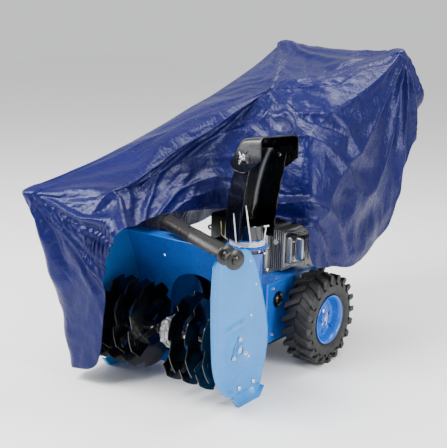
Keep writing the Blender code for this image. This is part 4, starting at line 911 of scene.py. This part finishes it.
def build_ties_skin():
    """Three cable ties round the seat, each with its ratchet head and upright tail."""
    at = Vector((CHUTE_X, CHUTE_Y, 0))
    shape = Shape()
    rows = (((-80, 0.1, -0.1), 0.4662), ((-48, 0.125, -0.16), 0.4722), ((-15, 0.045, 0.03), 0.4782))
    for (turn, tall, lean), level in rows:
        shape.turned([(0.0602, level - 0.0024), (0.0616, level - 0.0024), (0.0619, level),
                      (0.0616, level + 0.0024), (0.0602, level + 0.0024)], at, (0, 0, 1), 96)
        out, around = directions(turn)
        foot = at + out * 0.064 + Vector((0, 0, level))
        bend = foot + Vector((0, 0, 0.02)) + out * 0.024
        head = bend + Vector((0, 0, tall)) + out * 0.006 + around * lean * tall
        path = spline([foot, foot.lerp(bend, 0.5) - out * 0.002, bend, bend.lerp(head, 0.5), head], 5)
        flat = rectangle(0.0022, 0.0006)
        narrow = [(a * 0.55, b) for a, b in flat]
        shape.swept(path, [flat] * (len(path) - 2) + [narrow, narrow], up=out)
        shape.swept([foot - out * 0.0035, foot + out * 0.0022], rectangle(0.0042, 0.0036))
        if tall < 0.06:
            cut_end = [(a * 1.2, b * 2) for a, b in flat]
            shape.swept([head - around * 0.01, head + around * 0.012], cut_end, up=out)
    obj = bevelled(shape.make("cable_ties_skin"), 0.0004, 2, 50.0)
    return finish_piece(obj, "white", "chute", ("cable_ties",), 50.0)


def build_tag_skin():
    """Blank diamond tag, folded along its middle, on the left foot of the chute."""
    out, _ = directions(-150)
    foot = Vector((CHUTE_X, CHUTE_Y, 0.47)) + out * 0.066
    bend = foot + Vector((0, 0, 0.018)) + out * 0.022
    head = bend + Vector((0, 0, 0.048)) + out * 0.004
    path = spline([foot, bend, bend.lerp(head, 0.35), bend.lerp(head, 0.7), head], 6)
    sections = []
    for i in range(len(path)):
        t = i / (len(path) - 1)
        wide = 0.0015 + 0.0095 * max(0.0, 1 - abs(t - 0.62) / 0.36)
        sections.append([(-wide, -0.0004), (0.0, 0.0006), (wide, -0.0004), (wide, 0.0003),
                         (0.0, 0.0013), (-wide, 0.0003)])
    shape = Shape()
    shape.swept(path, sections, up=out)
    return finish_piece(shape.make("tag_skin"), "yellow", "chute", ("chute_tag",), 60.0)


# Shovel, grips, engine details


def build_tool_skin():
    """Clean-out shovel: thin trough with a lip, two ribbed collars, round handle with an end cap."""
    start = Vector((-0.03, -0.508, 0.556))
    end = Vector((0.38, -0.68, 0.542))
    along = (end - start).normalized()
    length = (end - start).length
    shape = Shape()

    def trough(radius, wall):
        outer = [(radius * math.cos(t), radius * math.sin(t)) for t in
                 [math.radians(-12 + 204 * k / 24) for k in range(25)]]
        inner = [((radius - wall) * math.cos(t), (radius - wall) * math.sin(t)) for t in
                 [math.radians(192 - 204 * k / 24) for k in range(25)]]
        return outer + inner

    stations = [(0.0, 0.0285), (0.003, 0.03), (0.01, 0.03), (0.014, 0.0292), (0.18, 0.029)]
    stations += [(0.185, 0.0298), (0.191, 0.0298), (0.196, 0.029), (0.366, 0.0292), (0.372, 0.03)]
    shape.swept([start + along * d for d, _ in stations], [trough(r, 0.0026) for _, r in stations])
    rounds = [(0.368, 0.0), (0.3682, 0.03), (0.37, 0.0318), (0.376, 0.0318), (0.3778, 0.03)]
    rounds += [(0.379, 0.018), (0.383, 0.016), (0.413, 0.016), (0.417, 0.018), (0.4182, 0.03)]
    rounds += [(0.42, 0.0318), (0.426, 0.0318), (0.4278, 0.03), (0.429, 0.015), (0.436, 0.0135)]
    rounds += [(min(0.442, length), 0.0)]
    shape.turned([(r, d) for d, r in rounds], start, along, 48)
    obj = shape.make("shovel_skin")
    return finish_piece(obj, "tool", "shovel", ("clean_out_tool",), 45.0)


def build_grip_skin(name, side):
    """Moulded grip with finger ridges and an end flange."""
    shape = Shape()
    profile = [(0.0131, 0.455), (0.0176, 0.4555), (0.0192, 0.459), (0.0192, 0.465), (0.0172, 0.469)]
    for k in range(17):
        y = 0.474 + 0.0066 * k
        profile += [(0.0164, y), (0.0172, y + 0.0016), (0.0172, y + 0.0042), (0.0164, y + 0.0058)]
    profile += [(0.0172, 0.588), (0.0196, 0.59), (0.0199, 0.596), (0.0185, 0.601), (0.015, 0.6034)]
    at = (side * GRIP_X, 0, GRIP_Z)
    shape.turned(profile, at, (0, 1, 0), 36)
    shape.turned([(0, 0.6002), (0.015, 0.6002), (0.015, 0.6034), (0, 0.6042)], at, (0, 1, 0), 36)
    return finish_piece(shape.make(name + "_skin"), "grip", "chassis", (name,), 50.0)


def build_lever_sleeve(name, side, body):
    """Dipped vinyl sleeve over the lever's upper end."""
    x = side * GRIP_X
    tip = Vector((x, 0.52, 1.077))
    low = tip - Vector((0, 0.043, 0.058))
    shape = Shape()
    flat = [(-0.012, -0.004), (-0.0112, -0.0048), (0.0112, -0.0048), (0.012, -0.004),
            (0.012, 0.004), (0.0112, 0.0048), (-0.0112, 0.0048), (-0.012, 0.004)]
    shape.swept([low, tip - Vector((0, 0.02, 0.03)), tip + Vector((0, 0.0008, 0.0012))], flat)
    return finish_piece(shape.make(name), "grip", body, (), 50.0)


def build_engine_details():
    """Bolts on the engine, the frame and the control panel."""
    shape = Shape()
    for x in (-0.108, 0.078):
        for y in (-0.075, 0.105):
            shape.bolt((x, y, 0.3204), (0, 0, 1), 0.012, 0.006)
    for y in (-0.015, 0.055):
        for z in (0.36, 0.43):
            shape.bolt((0.1521, y, z), (1, 0, 0), 0.009, 0.0045)
    for k in range(5):
        turn = 2 * math.pi * k / 5 + 0.4
        spot = (-0.015 + 0.082 * math.cos(turn), 0.1772, 0.418 + 0.082 * math.sin(turn))
        shape.bolt(spot, (0, 1, 0), 0.009, 0.004)
    for y in (-0.15, 0.16):
        for z in (0.115, 0.285):
            for side in (-1, 1):
                shape.bolt((side * 0.1602, y, z), (side, 0, 0), 0.011, 0.005)
    for x in (-0.16, 0.16):
        shape.bolt((x, 0.395, 0.9852), (0, 0, 1), 0.008, 0.003, False)
    return finish_piece(shape.make("fixings"), "zinc", "chassis", (), 40.0)


def build_recoil_slots():
    """Ring of cooling ribs on the starter's dome."""
    shape = Shape()
    centre = Vector((-0.015, 0, 0.418))
    for k in range(16):
        turn = 2 * math.pi * k / 16
        aim = Vector((math.cos(turn), 0, math.sin(turn)))
        root = centre + aim * 0.028 + Vector((0, 0.2062, 0))
        middle = centre + aim * 0.05 + Vector((0, 0.204, 0))
        tip = centre + aim * 0.064 + Vector((0, 0.199, 0))
        rib = [(-0.0022, -0.002), (0.0022, -0.002), (0.0016, 0.0018), (-0.0016, 0.0018)]
        shape.swept([root, middle, tip], rib, up=(0, 1, 0))
    obj = bevelled(shape.make("recoil_ribs"), 0.0005)
    return finish_piece(obj, "plastic", "chassis", (), 40.0)


# Storage cover

COVER_STATIONS = [
    ((0.0, 0.52, 1.072), (0.0, 0.592, 1.0), (0.0, 0.616, 0.91), (0.0, 0.618, 0.8)),
    ((0.15, 0.525, 1.078), (0.15, 0.598, 1.01), (0.16, 0.621, 0.91), (0.17, 0.62, 0.8)),
    ((0.24, 0.52, 1.094), (0.25, 0.602, 1.015), (0.264, 0.634, 0.91), (0.263, 0.622, 0.8)),
    ((0.275, 0.5, 1.092), (0.29, 0.572, 1.01), (0.302, 0.6, 0.88), (0.3, 0.575, 0.755)),
    ((0.276, 0.47, 1.078), (0.292, 0.5, 0.98), (0.3, 0.505, 0.8), (0.303, 0.49, 0.59)),
    ((0.274, 0.44, 1.06), (0.288, 0.45, 0.96), (0.294, 0.44, 0.78), (0.302, 0.394, 0.451)),
    ((0.268, 0.34, 1.005), (0.286, 0.33, 0.88), (0.296, 0.29, 0.68), (0.304, 0.265, 0.39)),
    ((0.24, 0.22, 0.94), (0.276, 0.19, 0.8), (0.294, 0.15, 0.62), (0.306, 0.138, 0.345)),
    ((0.21, 0.11, 0.885), (0.256, 0.07, 0.76), (0.284, 0.03, 0.6), (0.304, 0.02, 0.365)),
    ((0.18, 0.03, 0.835), (0.23, -0.02, 0.73), (0.266, -0.06, 0.6), (0.298, -0.085, 0.385)),
    ((0.16, 0.0, 0.815), (0.195, -0.05, 0.72), (0.225, -0.08, 0.62), (0.255, -0.105, 0.515)),
    ((0.12, -0.01, 0.8), (0.14, -0.06, 0.71), (0.155, -0.085, 0.62), (0.17, -0.098, 0.52)),
    ((0.06, -0.02, 0.79), (0.07, -0.065, 0.71), (0.078, -0.09, 0.62), (0.085, -0.102, 0.53)),
    ((-0.01, -0.06, 0.78), (-0.008, -0.1, 0.7), (-0.004, -0.12, 0.63), (0.0, -0.125, 0.545)),
    ((-0.115, -0.16, 0.74), (-0.085, -0.18, 0.68), (-0.062, -0.19, 0.62), (-0.045, -0.2, 0.55)),
    ((-0.15, -0.28, 0.71), (-0.11, -0.29, 0.66), (-0.08, -0.3, 0.61), (-0.055, -0.31, 0.56)),
    ((-0.165, -0.4, 0.69), (-0.125, -0.405, 0.65), (-0.095, -0.41, 0.61), (-0.068, -0.415, 0.568)),
    ((-0.17, -0.51, 0.67), (-0.135, -0.52, 0.64), (-0.105, -0.525, 0.605), (-0.08, -0.53, 0.57)),
    ((-0.18, -0.61, 0.655), (-0.145, -0.64, 0.63), (-0.11, -0.662, 0.59), (-0.07, -0.69, 0.545)),
    ((-0.23, -0.67, 0.648), (-0.19, -0.705, 0.59), (-0.16, -0.715, 0.5), (-0.125, -0.705, 0.42)),
    ((-0.3, -0.71, 0.645), (-0.25, -0.735, 0.56), (-0.2, -0.725, 0.38), (-0.15, -0.7, 0.24)),
    ((-0.37, -0.74, 0.643), (-0.31, -0.745, 0.53), (-0.24, -0.725, 0.28), (-0.185, -0.695, 0.085)),
    ((-0.432, -0.766, 0.643), (-0.385, -0.745, 0.51), (-0.328, -0.722, 0.26), (-0.287, -0.702, 0.055)),
    ((-0.438, -0.74, 0.652), (-0.4, -0.69, 0.52), (-0.352, -0.655, 0.27), (-0.313, -0.63, 0.05)),
    ((-0.405, -0.62, 0.688), (-0.375, -0.58, 0.56), (-0.345, -0.55, 0.33), (-0.318, -0.52, 0.085)),
    ((-0.365, -0.47, 0.735), (-0.355, -0.44, 0.62), (-0.345, -0.42, 0.43), (-0.335, -0.4, 0.2)),
    ((-0.335, -0.3, 0.79), (-0.345, -0.28, 0.68), (-0.352, -0.26, 0.52), (-0.352, -0.25, 0.33)),
    ((-0.315, -0.12, 0.85), (-0.335, -0.1, 0.74), (-0.35, -0.08, 0.58), (-0.358, -0.08, 0.39)),
    ((-0.3, 0.06, 0.91), (-0.322, 0.08, 0.8), (-0.342, 0.1, 0.64), (-0.35, 0.1, 0.41)),
    ((-0.288, 0.24, 0.975), (-0.308, 0.25, 0.87), (-0.325, 0.26, 0.7), (-0.335, 0.26, 0.43)),
    ((-0.278, 0.36, 1.028), (-0.296, 0.37, 0.93), (-0.308, 0.37, 0.76), (-0.318, 0.36, 0.46)),
    ((-0.276, 0.45, 1.068), (-0.292, 0.48, 0.97), (-0.302, 0.49, 0.8), (-0.308, 0.47, 0.58)),
    ((-0.275, 0.5, 1.092), (-0.29, 0.572, 1.01), (-0.302, 0.6, 0.88), (-0.3, 0.575, 0.75)),
    ((-0.24, 0.52, 1.094), (-0.25, 0.602, 1.015), (-0.264, 0.634, 0.91), (-0.263, 0.622, 0.8)),
    ((-0.15, 0.525, 1.078), (-0.15, 0.598, 1.01), (-0.16, 0.621, 0.91), (-0.17, 0.62, 0.8)),
]
COVER_CENTRE = (-0.06, 0.1, 0.945)


def cover_surface(across, down):
    """Cover points: one column for each place round the edge, from the middle to the hem."""
    closed = COVER_STATIONS + COVER_STATIONS[:2]
    around = []
    for level in range(4):
        ring = [COVER_STATIONS[-1][level]] + [s[level] for s in closed]
        line = spline(ring, across)[across:-across]
        around.append(line[: across * len(COVER_STATIONS)])
    columns = []
    for i in range(len(around[0])):
        edge = around[0][i]
        middle = Vector(COVER_CENTRE)
        inner = [middle.lerp(edge, t) for t in [k / (2 * down) for k in range(1, 2 * down)]]
        skirt = spline([around[level][i] for level in range(4)], down)
        columns.append(inner + skirt)
    return columns


def ridge(turn):
    """A wave from -1 to 1 with narrow crests and round hollows, as held cloth folds."""
    return 1.0 - 2.0 * abs(math.sin(turn * 0.5)) ** 0.8


def fold_height(p, down_share):
    """Long folds that run from where the cloth is held: front corner, levers and chute."""
    reach = (p - FRONT_CORNER).length
    leaning = 0.45 * (p.x - FRONT_CORNER.x)
    bearing = math.atan2(p.z - FRONT_CORNER.z + leaning, p.y - FRONT_CORNER.y + 0.001)
    fade = min(1.0, reach / 0.22) * max(0.0, 1.0 - reach / 1.25)
    wander = 1.6 * noise.noise(p * 2.6)
    total = 0.026 * fade * ridge(bearing * 17.0 + 0.6 + wander)
    total += 0.01 * fade * ridge(bearing * 39.0 + 1.9 + 2.0 * wander)
    reach = (p - LEVER_TIP).length
    bearing = math.atan2(p.z - LEVER_TIP.z, p.y - LEVER_TIP.y)
    fade = min(1.0, reach / 0.12) * max(0.0, 1.0 - reach / 1.05)
    total += 0.022 * fade * ridge(bearing * 19.0 + 1.0 + 2.4 * noise.noise(p * 3.4))
    gather = Vector((0.17, -0.08, 0.62))
    reach = (p - gather).length
    fade = max(0.0, 1.0 - reach / 0.42)
    total += 0.026 * fade * ridge(34.0 * (p.z + 0.6 * p.y) + 7.0 * noise.noise(p * 4.5))
    for size, deep, shift in ((4.2, 0.011, 3.1), (9.0, 0.0048, 7.7), (19.0, 0.0016, 1.3)):
        spot = Vector((p.x * size, p.y * size * 0.75, p.z * size)) + Vector((shift, 0, -shift))
        total += deep * (1.0 - 3.0 * abs(noise.noise(spot))) * (0.45 + 0.55 * down_share)
    top = max(0.0, min(1.0, (p.z - 0.62 - 0.33 * (p.y + 0.7)) / 0.05))
    return total * (1.0 - 0.8 * top)


def build_cover():
    """The cover: its surface pushed into folds, crumpled as cloth, then given a thickness."""
    columns = cover_surface(10, 14)
    width = len(columns)
    count = len(columns[0])
    points = [columns[k][i] for i in range(count) for k in range(width)]
    centre = len(points)
    points.append(Vector(COVER_CENTRE))
    faces = []
    for i in range(count - 1):
        for k in range(width):
            j = (k + 1) % width
            faces.append([i * width + k, i * width + j, (i + 1) * width + j, (i + 1) * width + k])
    for k in range(width):
        faces.append([(k + 1) % width, k, centre])
    obj = mesh_object("cover_cloth", points, faces)
    tool = bmesh.new()
    tool.from_mesh(obj.data)
    bmesh.ops.recalc_face_normals(tool, faces=tool.faces)
    top = max(tool.faces, key=lambda f: f.calc_center_median().z)
    if top.normal.z < 0:
        bmesh.ops.reverse_faces(tool, faces=tool.faces)
    tool.normal_update()
    normals = [v.normal.copy() for v in tool.verts]
    tool.to_mesh(obj.data)
    tool.free()
    lowest = 0.35
    for vert, normal in zip(obj.data.vertices, normals):
        here = vert.co - ORIGIN
        share = max(0.0, min(1.0, (0.95 - here.z) / (0.95 - lowest)))
        push = fold_height(here, share)
        vert.co += normal * (max(-0.016, min(0.024, push * 0.85)) + 0.004)
    crumple(obj)
    sub = obj.modifiers.new("smooth", "SUBSURF")
    sub.levels = 1
    sub.render_levels = 1
    thickened(obj, 0.0012, 0.0)
    finish_piece(obj, "nylon", "cover", ("storage_cover",), 180.0)
    return obj


def crumple(obj):
    """Grows the cloth a little between fixed points, so that it buckles into creases."""
    rest = [v.co.copy() for v in obj.data.vertices]
    group = obj.vertex_groups.new(name="held")
    far_tip = Vector((-LEVER_TIP.x, LEVER_TIP.y, LEVER_TIP.z))
    held_at = [LEVER_TIP, far_tip, FRONT_CORNER]
    for vert in obj.data.vertices:
        near = min((vert.co - ORIGIN - spot).length for spot in held_at)
        if near < 0.035:
            group.add([vert.index], 1.0, "REPLACE")
    cloth = obj.modifiers.new("cloth", "CLOTH")
    setup = cloth.settings
    setup.quality = 4
    setup.mass = 0.12
    setup.tension_stiffness = 18.0
    setup.compression_stiffness = 18.0
    setup.shear_stiffness = 8.0
    setup.bending_stiffness = 0.1
    setup.shrink_min = -0.022
    setup.vertex_group_mass = "held"
    setup.effector_weights.gravity = 0.0
    cloth.collision_settings.use_collision = False
    cloth.point_cache.frame_start = 1
    cloth.point_cache.frame_end = CLOTH_FRAMES
    scene = bpy.context.scene
    for step in range(1, CLOTH_FRAMES + 1):
        scene.frame_set(step)
    graph = bpy.context.evaluated_depsgraph_get()
    evaluated = obj.evaluated_get(graph)
    moved = [v.co.copy() for v in evaluated.data.vertices]
    obj.modifiers.remove(cloth)
    scene.frame_set(1)
    for vert, here, start in zip(obj.data.vertices, moved, rest):
        shift = here - start
        if shift.length > CLOTH_MOST_MOVE:
            shift *= CLOTH_MOST_MOVE / shift.length
        vert.co = start + shift


# The scene


def build_camera():
    """The camera stands ahead of the machine on its left, a little above it."""
    level = math.cos(CAMERA_PITCH)
    ahead = Vector((-math.sin(CAMERA_AZIMUTH) * level, math.cos(CAMERA_AZIMUTH) * level,
                    -math.sin(CAMERA_PITCH)))
    right = ahead.cross(Vector((0, 0, 1))).normalized()
    up = right.cross(ahead)
    across = right * math.cos(CAMERA_ROLL) + up * math.sin(CAMERA_ROLL)
    above = up * math.cos(CAMERA_ROLL) - right * math.sin(CAMERA_ROLL)
    turn = Matrix((across, above, -ahead)).transposed().to_4x4()
    data = bpy.data.cameras.new("camera")
    data.lens = CAMERA_LENS
    data.sensor_width = 36.0
    data.clip_end = 60.0
    camera = bpy.data.objects.new("camera", data)
    camera.matrix_world = Matrix.Translation(CAMERA_PLACE + ORIGIN) @ turn
    bpy.context.scene.collection.objects.link(camera)
    bpy.context.scene.camera = camera


def area_light(name, place, target, size, power):
    data = bpy.data.lights.new(name, "AREA")
    data.shape = "RECTANGLE"
    data.size, data.size_y = size
    data.energy = power
    lamp = bpy.data.objects.new(name, data)
    lamp.location = place
    lamp.rotation_euler = (Vector(target) - Vector(place)).to_track_quat("-Z", "Y").to_euler()
    bpy.context.scene.collection.objects.link(lamp)


def build_stage():
    """Pale floor, even sky light and four soft lamps."""
    points = [(-9, -9, 0), (9, -9, 0), (9, 9, 0), (-9, 9, 0)]
    floor = mesh_object("floor", points, [[0, 1, 2, 3]], Vector((0, 0, 0)))
    n = Nodes("pale_floor")
    tone = n.mix(n.spread(n.noise(3.0, 3.0), 0.3, 0.7), (0.93, 0.93, 0.93), (0.96, 0.96, 0.96))
    floor.data.materials.append(n.set(Base_Color=tone, Roughness=0.55))
    world = bpy.data.worlds.new("studio")
    world.use_nodes = True
    for node in world.node_tree.nodes:
        if node.type == "BACKGROUND":
            node.inputs["Color"].default_value = (0.97, 0.98, 1.0, 1.0)
            node.inputs["Strength"].default_value = 0.85
    bpy.context.scene.world = world
    area_light("key", (-1.2, -2.4, 3.6), (0, -0.1, 0.4), (2.0, 2.0), 300)
    area_light("left", (-3.4, -1.6, 1.6), (0, -0.2, 0.5), (1.2, 2.6), 95)
    area_light("right", (3.6, -0.6, 2.0), (0, 0.0, 0.5), (1.0, 2.2), 120)
    area_light("top", (0.4, 1.4, 3.6), (0, 0.1, 0.5), (2.2, 1.6), 110)


def build_all():
    build_camera()
    build_stage()
    for name, side in (("left", 1), ("right", -1)):
        build_side_skin(f"side_skin_{name}", side)
        build_side_bolts(f"side_bolts_{name}", side)
        build_bearing_skin(f"auger_bearing_{name}_skin", side)
        build_auger_skin(f"auger_{name}", side, 0.6)
        build_tyre_skin(f"tyre_{name}", side)
        build_rim_skin(f"rim_{name}", side)
        build_grip_skin(f"grip_{name}", side)
        build_wing_bolt_skin(f"wing_bolt_{name}", side)
    build_lever_sleeve("auger_lever_sleeve", 1, "left_lever")
    build_lever_sleeve("drive_lever_sleeve", -1, "right_lever")
    build_auger_bolts()
    build_gearbox_skin()
    build_chute_skin()
    build_chute_collar()
    build_deflector_skin()
    build_base_skin()
    build_collar_skin()
    build_ties_skin()
    build_tag_skin()
    build_tool_skin()
    build_engine_details()
    build_recoil_slots()
    build_cover()
    for material, nodes in SMOOTHED.items():
        for node in nodes.split():
            smoothed_copy(node, material)


build_all()
